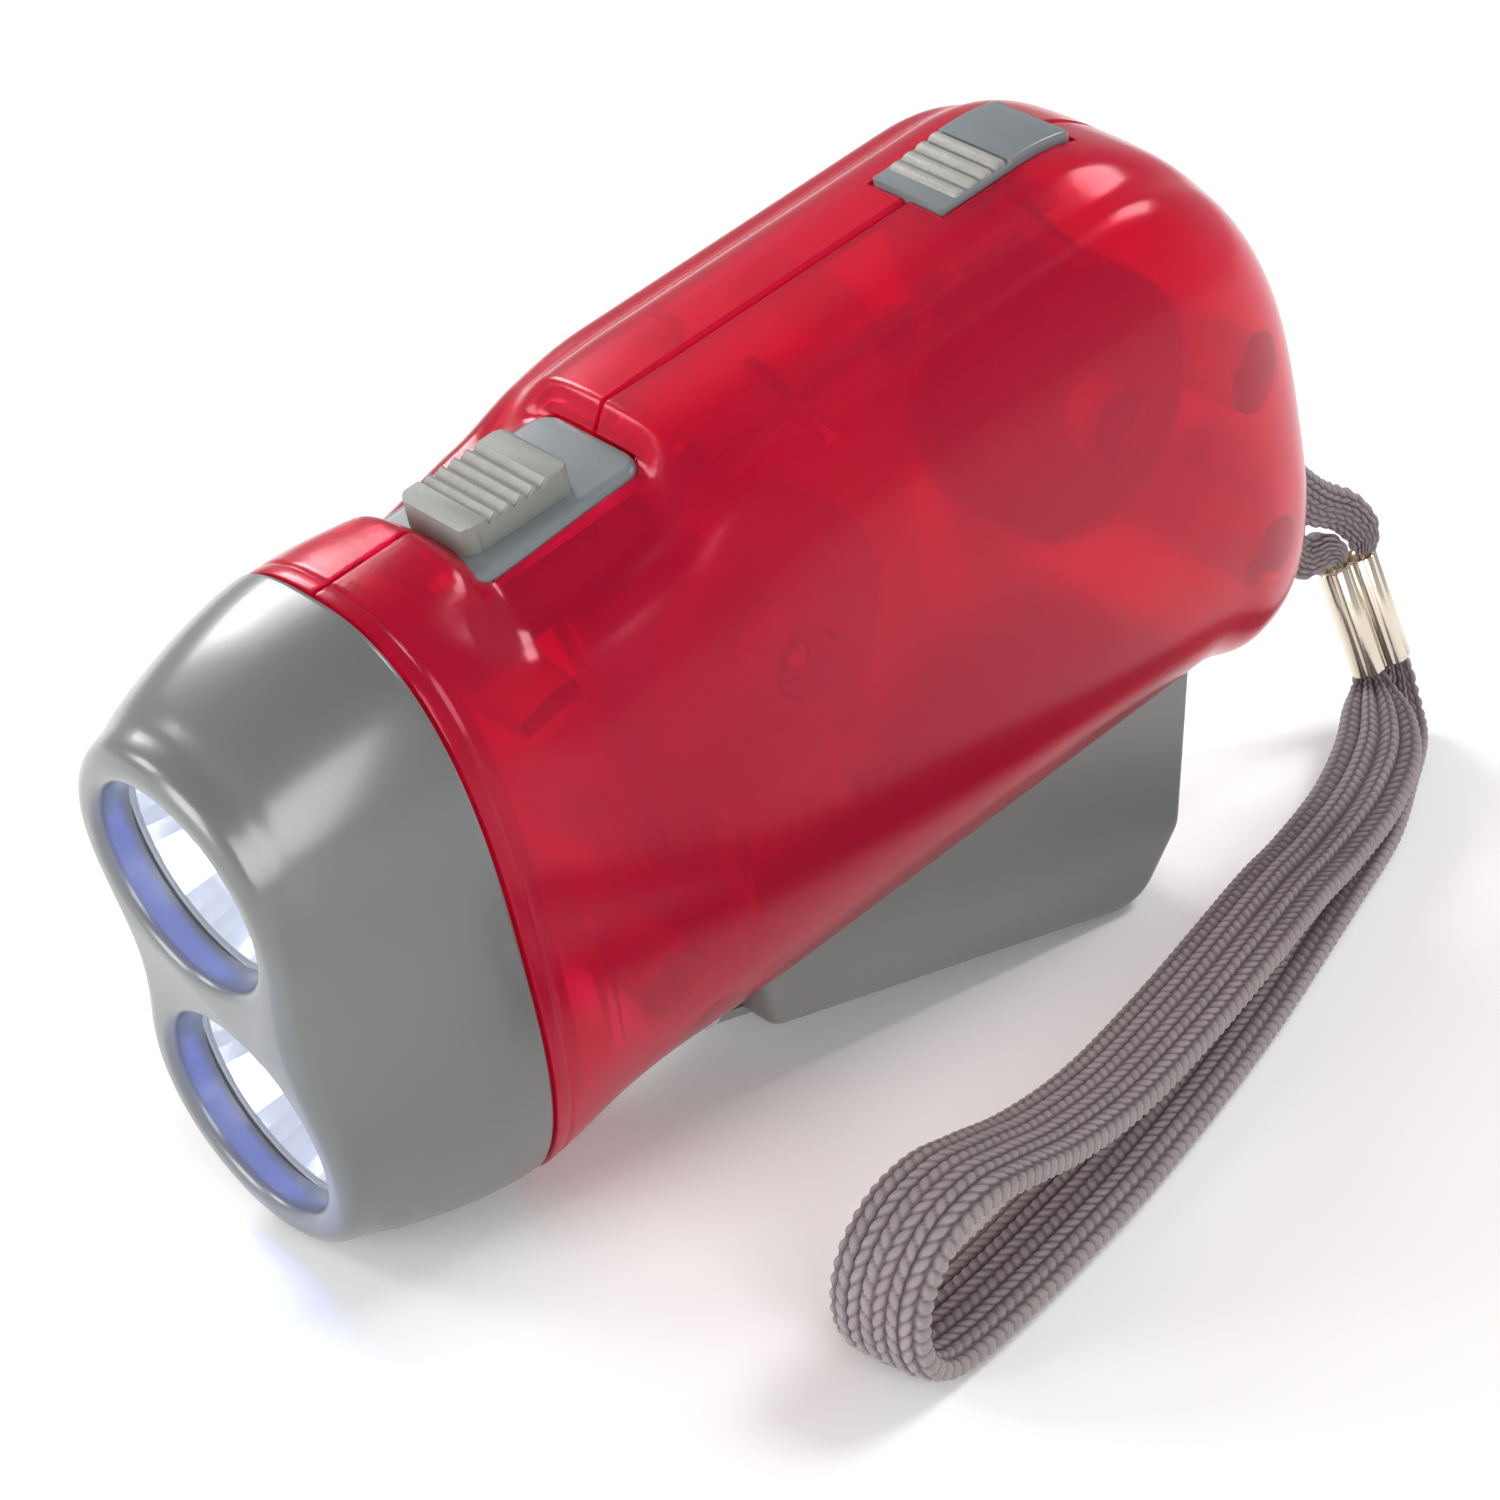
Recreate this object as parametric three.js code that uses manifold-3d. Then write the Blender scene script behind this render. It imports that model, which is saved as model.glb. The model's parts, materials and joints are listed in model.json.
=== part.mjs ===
// Hand-squeeze dynamo flashlight: a translucent clam shell, a grey twin-lens head, a squeeze lever that
// turns a flywheel generator through three gear stages, and a braided wrist strap lying on the table.
// Millimetres. The torch is drawn with its beam along +X, its width along Y and its height along Z, then
// tipped nose down until it stands on its head and on the heel of the open lever, as it does on a table.

import * as THREE from 'three';
import { mergeVertices } from 'three/addons/utils/BufferGeometryUtils.js';
import Module from 'manifold-3d';

const wasm = await Module();
wasm.setup();

// General clearances
const gap = 0.3; // between neighbouring pieces
const seamGap = 0.3; // between the two shell halves
const overrun = 1; // how far a cutter passes a surface
const bond = 0.2; // how far two solids of one piece run into each other

// Shell
const shellFrontX = -17.9;
const shellLength = 88.9;
const tailX = shellFrontX - shellLength;
const shellCrestZ = 27.3;
const shellChinZ = -27.7;
const shellBellyZ = -26;
const shellHeelZ = -28;
const shellHalfWidth = 17.5;
const shellFrontHalfWidth = 15.9;
const shellWall = 1.8;
const shellGroove = 1; // depth of the valley between the spine and the side panels
const shoulderStartX = -41; // behind the switch the shoulders rise to their full height
const shoulderRampLength = 13;
const bellyRampLength = 9;
const widthRampLength = 27;
const crestArcLength = 20.8; // the crest falls to the tail over this length
const crestArcPower = 2.2;
const tailTopZ = -5;
const heelArcLength = 9.8; // the heel rises to the tail over this length
const heelArcPower = 2.3;
const tailBottomZ = -12;
const heelRampLength = 6;
const chinRampLength = 15;
const tailPlanPower = 3;

// Saddle in the shell's top for the switch
const saddleFrontX = -26.6;
const saddleRearX = -46.4;
const saddleFrontSlope = 2.9;
const saddleRearSlope = 2.1;
const saddleDepth = 2.3;
const saddleHalfWidth = 8.5;
const saddleFadeWidth = 7;
const saddleEaseStart = 5; // further out than this the saddle's slopes grow longer
const saddleFrontEase = 5;
const saddleFrontEaseWidth = 8;
const saddleRearEase = 4;
const saddleRearEaseWidth = 6;

// Head
const ledHalfSpacing = 11.3;
const openingRadius = 9;
const lobeRadius = 11.6;
const waistDepth = 2.1;
const headEdgeRadius = 1;
const headHalfHeight = 27.5;
const headHalfWidth = 15.9;
const headWall = 2;
const openingDepth = 3.2;
const spigotLength = 3.8;
const spigotWall = 1.4;
const headCavityX = -8.6;

// Optics
const lensThickness = 1.4;
const lensRadius = 10.6;
const reflectorLength = 9.6;
const reflectorWall = 0.8;
const reflectorMouthRadius = 10.5;
const reflectorThroatRadius = 3.9;
const ledRadius = 2.5;
const ledFlangeRadius = 2.9;
const ledFlangeHeight = 1;
const ledHeight = 8;
const ledLegRadius = 0.35;
const ledLegSpacing = 2.54;
const ledLegLength = 3.4;
const ledBoardThickness = 1.2;
const ledBoardHalfWidth = 6.4;
const ledBoardHalfHeight = 17.5;
const ledLegHoleRadius = 0.8;

// Switch
const plateTopZ = 25;
const plateThickness = 1.8;
const plateHalfWidth = 5.9;
const plateFrontX = -24.6;
const plateRearX = -44.6;
const plateCornerRadius = 2;
const windowFrontX = -28.3;
const windowRearX = -45;
const switchTravel = 3.5;
const knobFrontX = -29.3;
const knobRearX = -39.6;
const knobHeight = 2.4;
const knobHalfWidth = 4.1;
const knobRibHeight = 0.5;
const knobRibCount = 5;
const knobRibPitch = 1.3;
const knobRibStartX = -31.2;
const switchCaseFrontX = -30;
const switchCaseRearX = -40.6;
const switchCaseHalfWidth = 3.2;
const switchCaseHeight = 2.6;
const switchCaseWall = 0.6;
const nubX = -34.2;
const nubLength = 1.8;
const nubHalfWidth = 1.2;
const nubHeight = 3.4;
const forkWall = 1;
const forkDepth = 2;
const boardThickness = 1.2;
const boardTopZ = 18.1;
const boardFrontX = -24;
const boardRearX = -47.2;
const boardHalfWidth = 7;
const shelfFrontLength = 6;
const shelfRearLength = 3.6;

// Lever lock
const lockTailSpace = 14.9; // from the tail to the slider
const lockLength = 14.1;
const lockRearX = tailX + lockTailSpace;
const lockFrontX = lockRearX + lockLength;
const lockHalfWidth = 4.1;
const lockPadHeight = 0.8;
const lockRibCount = 4;
const lockRibPitch = 1.5;
const lockRibHeight = 0.3;
const lockNoseHeight = 0.3;
const lockTravel = 3.2;
const lockStemInset = 4.9; // from the slider's rear end
const lockStemLength = 3.4;
const lockStemRearX = lockRearX + lockStemInset;
const lockStemFrontX = lockStemRearX + lockStemLength;
const lockStemHalfWidth = 1.7;
const lockSlotHalfWidth = 2.1;
const hookPlateTopZ = 22.4;
const hookPlateThickness = 1.6;
const hookPlateInset = 2.3; // from the slider's rear end
const hookPlateLength = 11.7;
const hookPlateRearX = lockRearX + hookPlateInset;
const hookPlateFrontX = hookPlateRearX + hookPlateLength;
const hookPlateHalfWidth = 3.4;
const hookArmFrontX = hookPlateFrontX;
const hookArmThickness = 2.3;
const hookArmLowY = -3.4;
const hookArmHighY = 0.4;
const hookFootReach = 4.1; // behind the front of the hook's plate
const hookFootTipX = hookPlateFrontX - hookFootReach;
const hookFootThickness = 2;
const hookSlack = 0.4; // under the closed lever's catch
const lockScrewRadius = 0.8;
const lockScrewHeadRadius = 1.6;
const lockScrewHeadHeight = 0.9;
const lockScrewReach = 2.2;

// Lever, drawn open
const hingeX = -35.5;
const hingeZ = -21;
const leverTravelDegrees = 20;
const leverSlopeDegrees = 20.8;
const leverBarrelRadius = 3.5;
const leverBarrelHalfWidth = 7.8;
const leverHalfWidth = 11.4;
const leverWall = 1.6;
const leverLength = 54.5;
const leverRearTopZ = -20.6;
const leverFrontTopZ = -18.6;
const leverHeelX = -84.6;
const leverHeelZ = -41;
const leverHeelCut = 4.6; // the heel's corner is rounded off over this length
const leverFrontSkip = 5.4; // the side walls start this far behind the hinge
const leverKnuckleWidth = 3;
const leverTongue = 0.8; // thickness of the lever's floor under the spring
const catchTipX = -83.5;
const catchTopZ = -5;
const catchBottomZ = -7;
const catchHalfWidth = 3.2;
const slotHalfWidth = 11.9;
const slotFrontHalfWidth = 8.1;
const slotFrontX = -31.4;
const slotStepX = -40.2;
const slotRearX = -91.2;
const slotTopZ = -16.6;
const pinRadius = 1.4;
const pinHalfLength = 11;
const hingeBossRadius = 3.4;
const springWireRadius = 0.3;
const springTurns = 4;
const springPitch = 1.3;
const springRadius = 2.1;
const springStepsPerTurn = 8;
const springStepsPerPoint = 1.25;
const springRearLeg = 10;
const springFrontLeg = 6.5;
const springEndDegrees = 55;

// Gears
const pressureAngleDegrees = 25;
const toothThicknessShare = 0.44; // of the pitch
const addendumShare = 0.9; // of the module
const dedendumShare = 1.2; // of the module
const sectorModule = 0.7;
const sectorTeethFull = 80;
const pinionTeethOne = 10;
const trainModule = 0.6;
const wheelTeeth = 36;
const pinionTeeth = 12;
const firstAxleDegrees = 155; // direction of the first axle from the lever's hinge
const sectorStartDegrees = 146.5;
const sectorEndDegrees = 183;
const sectorHubRadius = 3.4;
const sectorLowY = -7.8;
const sectorHighY = -5;
const wheelOneLowY = -4.6;
const wheelOneHighY = -2.6;
const wheelTwoLowY = -2.2;
const wheelTwoHighY = -0.2;
const axleRadius = 1;
const axleLowY = -12;
const bearingClearance = 0.3;
const bearingRadius = 2.4;

// Gear plate
const midPlateLowY = 0.2;
const midPlateHighY = 1.8;
const midPlateMargin = 4;
const postRadius = 2.2;
const postX = [-72, -50, -34];
const postZ = [18, 20, -3];
const smallScrewRadius = 0.9;
const smallScrewHeadRadius = 2;
const smallScrewHeadHeight = 1.1;
const smallScrewReach = 6;

// Generator
const flywheelX = -47.9;
const flywheelZ = 8.5;
const flywheelRadius = 11.5;
const flywheelRimWidth = 3.2;
const flywheelLowY = 7.8;
const flywheelHighY = 11.2;
const flywheelWebThickness = 1.5;
const flywheelHubRadius = 3;
const flywheelAxleRadius = 0.9;
const flywheelAxleLowY = -11.4;
const flywheelAxleHighY = 14;
const magnetRadius = 7;
const magnetLowY = 2.4;
const magnetHighY = 7;
const airGap = 0.8;
const coreLowY = 2.1;
const coreHighY = 7.1;
const coreHalfWidth = 10.4;
const coreShoeHeight = 4.8;
const coreDrop = 19.5; // from the flywheel's axis to the core's lower edge
const coreBarHeight = 3;
const coreScrewInset = 2.1;
const bobbinWall = 0.6;
const bobbinFlange = 0.8;
const coilHalfHeight = 4;
const coilHalfDepth = 4.2;

// Cells
const cellX = -82;
const cellZ = 9.5;
const cellRadius = 10;
const cellThickness = 3.2;
const cellLowY = 2.4;
const cellEdge = 0.5;
const tabThickness = 0.4;
const tabWidth = 4;
const tabLift = 10.5; // from the cells' axis to the tab's upper end
const tabDrop = 5;
const holderPlate = 1.2;
const holderWall = 1;
const holderRimLowY = 3.8;
const cellSeatRadius = 3;

// Housing screws
const bossX = [-96.8, -96.3, -30.9];
const bossZ = [5.2, -12.5, -11.9];
const bossRadius = 3.2;
const screwRadius = 1.15;
const screwHeadRadius = 2.4;
const screwHeadHeight = 1.5;
const screwSeatDepth = 5.5; // from the shell's side down to the screw head's seat
const screwGrip = 8; // shank length past the seam
const crossSlotWidth = 0.5;
const crossSlotDepth = 0.6;

// Wires
const wireRadius = 0.55;
const wireSides = 8;
const wireSteps = 12;

// Strap
const strapPostX = -103.2;
const strapPostZ = -14.5;
const strapPostRadius = 1.2;
const strapWindowHalfHeight = 4.8;
const strapWindowHalfWidth = 2.6;
const strapEyeHalfWidth = 2;
const strapEyeHalfThickness = 0.9;
const strapSides = 8;
const strapEyeSteps = 36;
const loopStepsPerPoint = 2;
const ferruleRadius = 1.6;
const ferruleSpacing = 2.5;
const ferruleTop = [-122.1, 1, 16.1];
const ferruleBottom = [-124.2, 3.9, 6.1];
const ferruleSpread = [-0.94, 0.34, 0]; // direction from the front tube to the rear one

// The eye's route from the rear tube of the ferrule round the post to the front tube, in the torch's own frame
const eyeRoute = [
  [-118.9, 1.8, -32.7], [-119.4, 1.7, -31.2], [-118.2, 1, -28.3], [-115.2, 0.3, -25.6],
  [-111, 0, -19.2], [-108.3, 0, -14], [-105.9, 0, -12], [-103.2, 0, -11.8], [-101.2, 0, -12.7],
  [-100.4, 0, -14.5], [-101.2, 0, -16.3], [-103.2, 0, -17.2], [-106, 0, -17.5], [-108.6, 0, -20.6],
  [-111, 0, -27.2], [-113.4, 0.2, -30.7], [-115.6, 0.7, -31], [-116.4, 1, -31.8], [-116.5, 1, -32.5],
];

// The wrist loop is a flat braid. It leaves the front tube of the ferrule, arches over its own lower run,
// turns down at the far end and lies flat on the table back to the rear tube. Each entry holds a centre,
// half the width, half the thickness and the compass direction of the run in degrees.
const loopRoute = [
  [-123.2, 3.5, 4.9, 0.9, 0.9, 50], [-122.4, 4.7, 4.1, 1.3, 1, 50], [-120.2, 7.2, 4.1, 2.2, 1.1, 45],
  [-115.5, 11.6, 4.1, 3.3, 1.2, 36], [-108, 16.2, 4.2, 3.9, 1.2, 28], [-98, 20.7, 5, 3.9, 1.2, 25],
  [-90.7, 23.9, 6.3, 3.9, 1.2, 25], [-80, 28.7, 7.6, 3.9, 1.2, 24], [-69, 33.1, 8.2, 3.9, 1.2, 21],
  [-55.7, 37.9, 9.2, 3.9, 1.2, 17], [-46, 40.8, 11, 4, 1.2, 15], [-39.3, 42.6, 13.1, 4.1, 1.2, 13],
  [-33.8, 43.9, 14.4, 4.2, 1.2, 12], [-29.2, 44.8, 13.6, 4.2, 1.2, 11], [-26.4, 45.2, 10.8, 4.2, 1.2, 11],
  [-25.5, 45.4, 7.6, 4.2, 1.2, 11], [-26.2, 45.4, 4.5, 4.2, 1.2, 11], [-28.8, 44.9, 2.1, 4.2, 1.2, 11],
  [-33, 44, 1.4, 4.2, 1.2, 12], [-39.3, 42.6, 1.4, 4.2, 1.2, 14], [-46, 40.8, 1.4, 4.2, 1.2, 16],
  [-55.7, 37.9, 1.4, 4.2, 1.2, 18], [-69, 33.1, 1.4, 4.2, 1.2, 21], [-80, 28.7, 1.4, 4.2, 1.2, 24],
  [-90.7, 23.9, 1.4, 4.2, 1.2, 25], [-99, 20.2, 1.4, 4.1, 1.2, 26], [-108, 16.2, 1.4, 3.9, 1.2, 30],
  [-116, 11.6, 1.4, 3.3, 1.2, 36], [-121.4, 8, 1.5, 2.5, 1.1, 42], [-124.5, 5.6, 2, 1.6, 1, 46],
  [-125.5, 4.6, 3.4, 1.1, 0.9, 50], [-125.6, 4.4, 4.9, 0.9, 0.9, 50],
];

// Routes of the wires: cells to board, generator to board, board to lamps
const wireRoutes = {
  cell_wire: [
    [-79.3, 1.9, 19.9], [-76.4, 2.4, 20], [-71.5, 4.1, 20.9], [-60, 5, 20], [-52, 5, 19], [-47.9, 5, 17.6],
  ],
  generator_wire: [
    [-41.6, 9.7, -9.5], [-37, 9.7, -9.5], [-33.9, 9.6, -5], [-32.6, 9.4, 6], [-32.6, 9.2, 14],
    [-32.6, 7.9, 17.5],
  ],
  lamp_wire: [[-18.3, 4.2, 14.4], [-20, 4.2, 16.6], [-23.4, 4.2, 17.5]],
};

// Numbers of facets and stations
const ringPoints = 24;
const roundSides = 24;
const smallSides = 12;
const screwSides = 16;
const axleSides = 10;
const pinSides = 8;
const cornerSides = 4;
const waistSteps = 12;
const restSteps = 20;
const legSides = 6;

// Helpers that turn three.js geometry into solids and back

function solid(geometry) {
  const bare = geometry.clone();
  bare.deleteAttribute('normal');
  bare.deleteAttribute('uv');
  const merged = mergeVertices(bare, 1e-4);
  return new wasm.Manifold(new wasm.Mesh({
    numProp: 3,
    vertProperties: new Float32Array(merged.attributes.position.array),
    triVerts: new Uint32Array(merged.index.array),
  }));
}

function geometryOf(body) {
  const mesh = body.getMesh();
  const geometry = new THREE.BufferGeometry();
  geometry.setAttribute('position', new THREE.BufferAttribute(new Float32Array(mesh.vertProperties), 3));
  geometry.setIndex(new THREE.BufferAttribute(new Uint32Array(mesh.triVerts), 1));
  geometry.computeVertexNormals();
  return geometry;
}

// Box between two corners
function block(x0, x1, y0, y1, z0, z1) {
  const geometry = new THREE.BoxGeometry(Math.abs(x1 - x0), Math.abs(y1 - y0), Math.abs(z1 - z0));
  geometry.translate((x0 + x1) / 2, (y0 + y1) / 2, (z0 + z1) / 2);
  return solid(geometry);
}

// Round bar along Y
function barY(x, z, radius, y0, y1, sides = roundSides) {
  const geometry = new THREE.CylinderGeometry(radius, radius, Math.abs(y1 - y0), sides);
  geometry.translate(x, (y0 + y1) / 2, z);
  return solid(geometry);
}

// Round bar along X
function barX(y, z, radius, x0, x1, sides = roundSides) {
  const geometry = new THREE.CylinderGeometry(radius, radius, Math.abs(x1 - x0), sides);
  geometry.rotateZ(Math.PI / 2);
  geometry.translate((x0 + x1) / 2, y, z);
  return solid(geometry);
}

// Outline drawn in X and Z, given thickness along Y
function plateGeometry(shape, y0, y1, curveSegments = smallSides) {
  const geometry = new THREE.ExtrudeGeometry(shape, { depth: y1 - y0, bevelEnabled: false, curveSegments });
  geometry.rotateX(Math.PI / 2);
  geometry.translate(0, y1, 0);
  return geometry;
}

function plate(points, y0, y1) {
  return solid(plateGeometry(new THREE.Shape(points.map(([x, z]) => new THREE.Vector2(x, z))), y0, y1));
}

// Profile of [radius, height] pairs turned about the Y axis, then laid along X with its height forward
function turnedX(profile, y, z, x, sides = roundSides) {
  const geometry = new THREE.LatheGeometry(profile.map(([r, h]) => new THREE.Vector2(r, h)), sides);
  geometry.rotateZ(-Math.PI / 2);
  geometry.translate(x, y, z);
  return geometry;
}

// Skin through rings of points that run from the front to the rear, closed by a tip at each end
function loft(rings, frontTip, rearTip) {
  const count = rings[0].length;
  const positions = rings.flat().flatMap((point) => [point.x, point.y, point.z]);
  positions.push(...frontTip.toArray(), ...rearTip.toArray());
  const front = rings.length * count;
  const rear = front + 1;
  const indices = [];
  for (let j = 0; j < count; j += 1) {
    const next = (j + 1) % count;
    const last = (rings.length - 1) * count;
    indices.push(front, next, j, rear, last + j, last + next);
    for (let i = 0; i + 1 < rings.length; i += 1) {
      const a = i * count;
      const b = a + count;
      indices.push(a + j, a + next, b + j, a + next, b + next, b + j);
    }
  }
  const geometry = new THREE.BufferGeometry();
  geometry.setAttribute('position', new THREE.Float32BufferAttribute(positions, 3));
  geometry.setIndex(indices);
  return geometry;
}

const root = new THREE.Group();
const torch = new THREE.Group();
root.add(torch);

function place(name, geometry, colour, roughness, metalness, parent = torch) {
  geometry.computeVertexNormals();
  const mesh = new THREE.Mesh(geometry, new THREE.MeshStandardMaterial({ color: colour, roughness, metalness }));
  mesh.name = name;
  parent.add(mesh);
  return mesh;
}

const red = 0xbe1e37;
const headGrey = 0x7d807a;
const switchGrey = 0x737a7d;
const steel = 0xb9bcc0;
const whitePlastic = 0xe6e6e0;
const brass = 0xc9a24a;
const boardGreen = 0x2f6b45;
const strapGrey = 0x82737a;

// Shell outline


function smooth(share) {
  const s = Math.min(1, Math.max(0, share));
  return s * s * (3 - 2 * s);
}

// How far the saddle sinks the top at x and y
function saddleAt(x, y) {
  const out = Math.abs(y) - saddleEaseStart;
  const frontEase = saddleFrontEase * smooth(out / saddleFrontEaseWidth);
  const rearEase = saddleRearEase * smooth(out / saddleRearEaseWidth);
  const front = smooth((saddleFrontX + frontEase - x) / (saddleFrontSlope + frontEase));
  const rear = smooth((x - saddleRearX) / (saddleRearSlope + rearEase));
  const across = 1 - smooth((Math.abs(y) - saddleHalfWidth) / saddleFadeWidth);
  return saddleDepth * Math.min(front, rear) * across;
}

function arc(start, end, share, power) {
  return end + (start - end) * (1 - Math.min(1, share) ** power) ** (1 / power);
}

function crestAt(x, inset) {
  const archX = tailX + crestArcLength;
  if (x > archX) return shellCrestZ - inset;
  return arc(shellCrestZ - inset, tailTopZ, (archX - x) / (crestArcLength - inset), crestArcPower);
}

function bottomAt(x, inset) {
  const archX = tailX + heelArcLength;
  const chin = shellChinZ + (shellBellyZ - shellChinZ) * smooth((shellFrontX - x) / chinRampLength);
  const belly = chin + (shellHeelZ - shellBellyZ) * smooth((archX + heelRampLength - x) / heelRampLength);
  if (x > archX) return belly + inset;
  return arc(shellHeelZ + inset, tailBottomZ, (archX - x) / (heelArcLength - inset), heelArcPower);
}

function halfWidthAt(x, inset) {
  const swell = smooth((shellFrontX - x) / widthRampLength);
  const side = shellFrontHalfWidth + (shellHalfWidth - shellFrontHalfWidth) * swell - inset;
  const archX = tailX + crestArcLength;
  if (x > archX) return side;
  return arc(side, 0, (archX - x) / (crestArcLength - inset), tailPlanPower);
}

// Exponents of the superellipse sections, above and below the widest line
const frontPower = 2.7;
const shoulderPower = 3.4;
const nosePowerDrop = 0.4; // the section is rounder round the switch's front end
const noseDropStartX = -21.4;
const noseDropLength = 7;
const noseDropEndX = -30;
const noseDropFadeLength = 14;
const bellyPower = 2.5;

// Where the valley between the spine and each side panel lies and how wide it is
const valley_shares = { place: 0.57, spread: 0.11 };

function sectionRing(x, inset) {
  const top = crestAt(x, inset);
  const bottom = bottomAt(x, inset);
  const half = halfWidthAt(x, inset);
  const middle = (top + bottom) / 2;
  const height = (top - bottom) / 2;
  const fade = smooth((shellFrontX - x) / chinRampLength) * smooth((x - tailX) / crestArcLength);
  const shoulder = frontPower + (shoulderPower - frontPower) * smooth((shoulderStartX - x) / shoulderRampLength);
  const noseDrop = nosePowerDrop * smooth((noseDropStartX - x) / noseDropLength);
  const upper = shoulder - noseDrop * (1 - smooth((noseDropEndX - x) / noseDropFadeLength));
  const lower = frontPower + (bellyPower - frontPower) * smooth((shellFrontX - x) / bellyRampLength);
  const ring = [];
  for (let j = 0; j < ringPoints; j += 1) {
    const angle = (2 * Math.PI * j) / ringPoints;
    const s = Math.sin(angle);
    const c = Math.cos(angle);
    const power = c > 0 ? upper : lower;
    const y = half * Math.sign(s) * Math.abs(s) ** (2 / power);
    const z = middle + height * Math.sign(c) * Math.abs(c) ** (2 / power);
    const off = (Math.abs(y) / half - valley_shares.place) / valley_shares.spread;
    const valley = shellGroove * fade * Math.exp(-off * off);
    ring.push(new THREE.Vector3(x, y, c > 0 ? z - valley - saddleAt(x, y) : z));
  }
  return ring;
}

// Stations close together at the saddle's slopes and the tail
const nose_station_shares = [0.42, 0.76];
const slope_station_shares = [0, 0.52, 1];
const saddle_station_shares = [0.38, 0.76];
const back_station_shares = [0.088, 0.403, 0.694, 0.965];
const tail_station_shares = [0.1, 0.35, 0.55, 0.7, 0.82, 0.9, 0.955, 0.985];

function between(start, end, shares) {
  return shares.map((share) => start + (end - start) * share);
}

function shellSkin(inset, frontX) {
  const archX = tailX + crestArcLength;
  const saddleFloorFrontX = saddleFrontX - saddleFrontSlope;
  const saddleFloorRearX = saddleRearX + saddleRearSlope;
  const stations = [
    frontX,
    ...between(shellFrontX, saddleFrontX, nose_station_shares),
    ...between(saddleFrontX, saddleFloorFrontX, slope_station_shares),
    ...between(saddleFloorFrontX, saddleFloorRearX, saddle_station_shares),
    ...between(saddleFloorRearX, saddleRearX, slope_station_shares),
    ...between(saddleRearX, archX, back_station_shares),
    ...between(archX, tailX + inset, tail_station_shares),
  ];
  const rings = stations.map((x) => sectionRing(Math.min(x, frontX), inset));
  const middleFront = new THREE.Vector3(frontX, 0, 0);
  const tip = new THREE.Vector3(tailX + inset, 0, (tailTopZ + tailBottomZ) / 2);
  return solid(loft(rings, middleFront, tip));
}

// Where the gear train's axles stand

function polar(x, z, radius, degrees) {
  const angle = THREE.MathUtils.degToRad(degrees);
  return [x + radius * Math.cos(angle), z + radius * Math.sin(angle)];
}

const sectorRadius = (sectorModule * sectorTeethFull) / 2;
const firstCentres = (sectorModule * (sectorTeethFull + pinionTeethOne)) / 2;
const trainCentres = (trainModule * (wheelTeeth + pinionTeeth)) / 2;
const [axleOneX, axleOneZ] = polar(hingeX, hingeZ, firstCentres, firstAxleDegrees);
const spanX = flywheelX - axleOneX;
const spanZ = flywheelZ - axleOneZ;
const span = Math.hypot(spanX, spanZ);
const rise = Math.sqrt(trainCentres ** 2 - (span / 2) ** 2);
const axleTwoX = (axleOneX + flywheelX) / 2 - (rise * spanZ) / span;
const axleTwoZ = (axleOneZ + flywheelZ) / 2 + (rise * spanX) / span;

function direction(x0, z0, x1, z1) {
  return THREE.MathUtils.radToDeg(Math.atan2(z1 - z0, x1 - x0));
}

// Points of one involute tooth about the direction given, from its root to its root
function tooth(x, z, teeth, module, degrees) {
  const pitch = (module * teeth) / 2;
  const tip = pitch + module * addendumShare;
  const rootCircle = pitch - module * dedendumShare;
  const base = pitch * Math.cos(THREE.MathUtils.degToRad(pressureAngleDegrees));
  const involute = (radius) => {
    const t = Math.sqrt(Math.max(0, (radius / base) ** 2 - 1));
    return t - Math.atan(t);
  };
  const halfTooth = (Math.PI * toothThicknessShare) / teeth + involute(pitch);
  const radii = base > rootCircle ? [rootCircle, base, pitch, tip] : [rootCircle, tip];
  const flank = radii.map((radius) => [radius, halfTooth - involute(radius)]);
  const centre = THREE.MathUtils.degToRad(degrees);
  const points = [];
  for (const [radius, half] of flank) {
    points.push([x + radius * Math.cos(centre - half), z + radius * Math.sin(centre - half)]);
  }
  for (const [radius, half] of flank.reverse()) {
    points.push([x + radius * Math.cos(centre + half), z + radius * Math.sin(centre + half)]);
  }
  return points;
}

// Whole gear along Y with a tooth in the direction given
function spur(x, z, teeth, module, degrees, y0, y1) {
  const points = [];
  for (let i = 0; i < teeth; i += 1) {
    points.push(...tooth(x, z, teeth, module, degrees + (360 * i) / teeth));
  }
  return plate(points, y0, y1);
}

const towardOne = firstAxleDegrees;
const towardTwo = direction(axleOneX, axleOneZ, axleTwoX, axleTwoZ);
const towardFlywheel = direction(axleTwoX, axleTwoZ, flywheelX, flywheelZ);
const boreRadius = axleRadius + bearingClearance;

function firstGear() {
  const wheel = spur(axleOneX, axleOneZ, wheelTeeth, trainModule, towardTwo, wheelOneLowY, wheelOneHighY);
  const phase = towardOne + 180 + 180 / pinionTeethOne;
  const pinion = spur(axleOneX, axleOneZ, pinionTeethOne, sectorModule, phase, sectorLowY, wheelOneLowY + bond);
  const bore = barY(axleOneX, axleOneZ, boreRadius, sectorLowY - overrun, wheelOneHighY + overrun, smallSides);
  return geometryOf(wheel.add(pinion).subtract(bore));
}

function secondGear() {
  const wheel = spur(axleTwoX, axleTwoZ, wheelTeeth, trainModule, towardFlywheel, wheelTwoLowY, wheelTwoHighY);
  const phase = towardTwo + 180 + 180 / pinionTeeth;
  const pinion = spur(axleTwoX, axleTwoZ, pinionTeeth, trainModule, phase, wheelOneLowY, wheelTwoLowY + bond);
  const bore = barY(axleTwoX, axleTwoZ, boreRadius, wheelOneLowY - overrun, wheelTwoHighY + overrun, smallSides);
  return geometryOf(wheel.add(pinion).subtract(bore));
}

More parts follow.
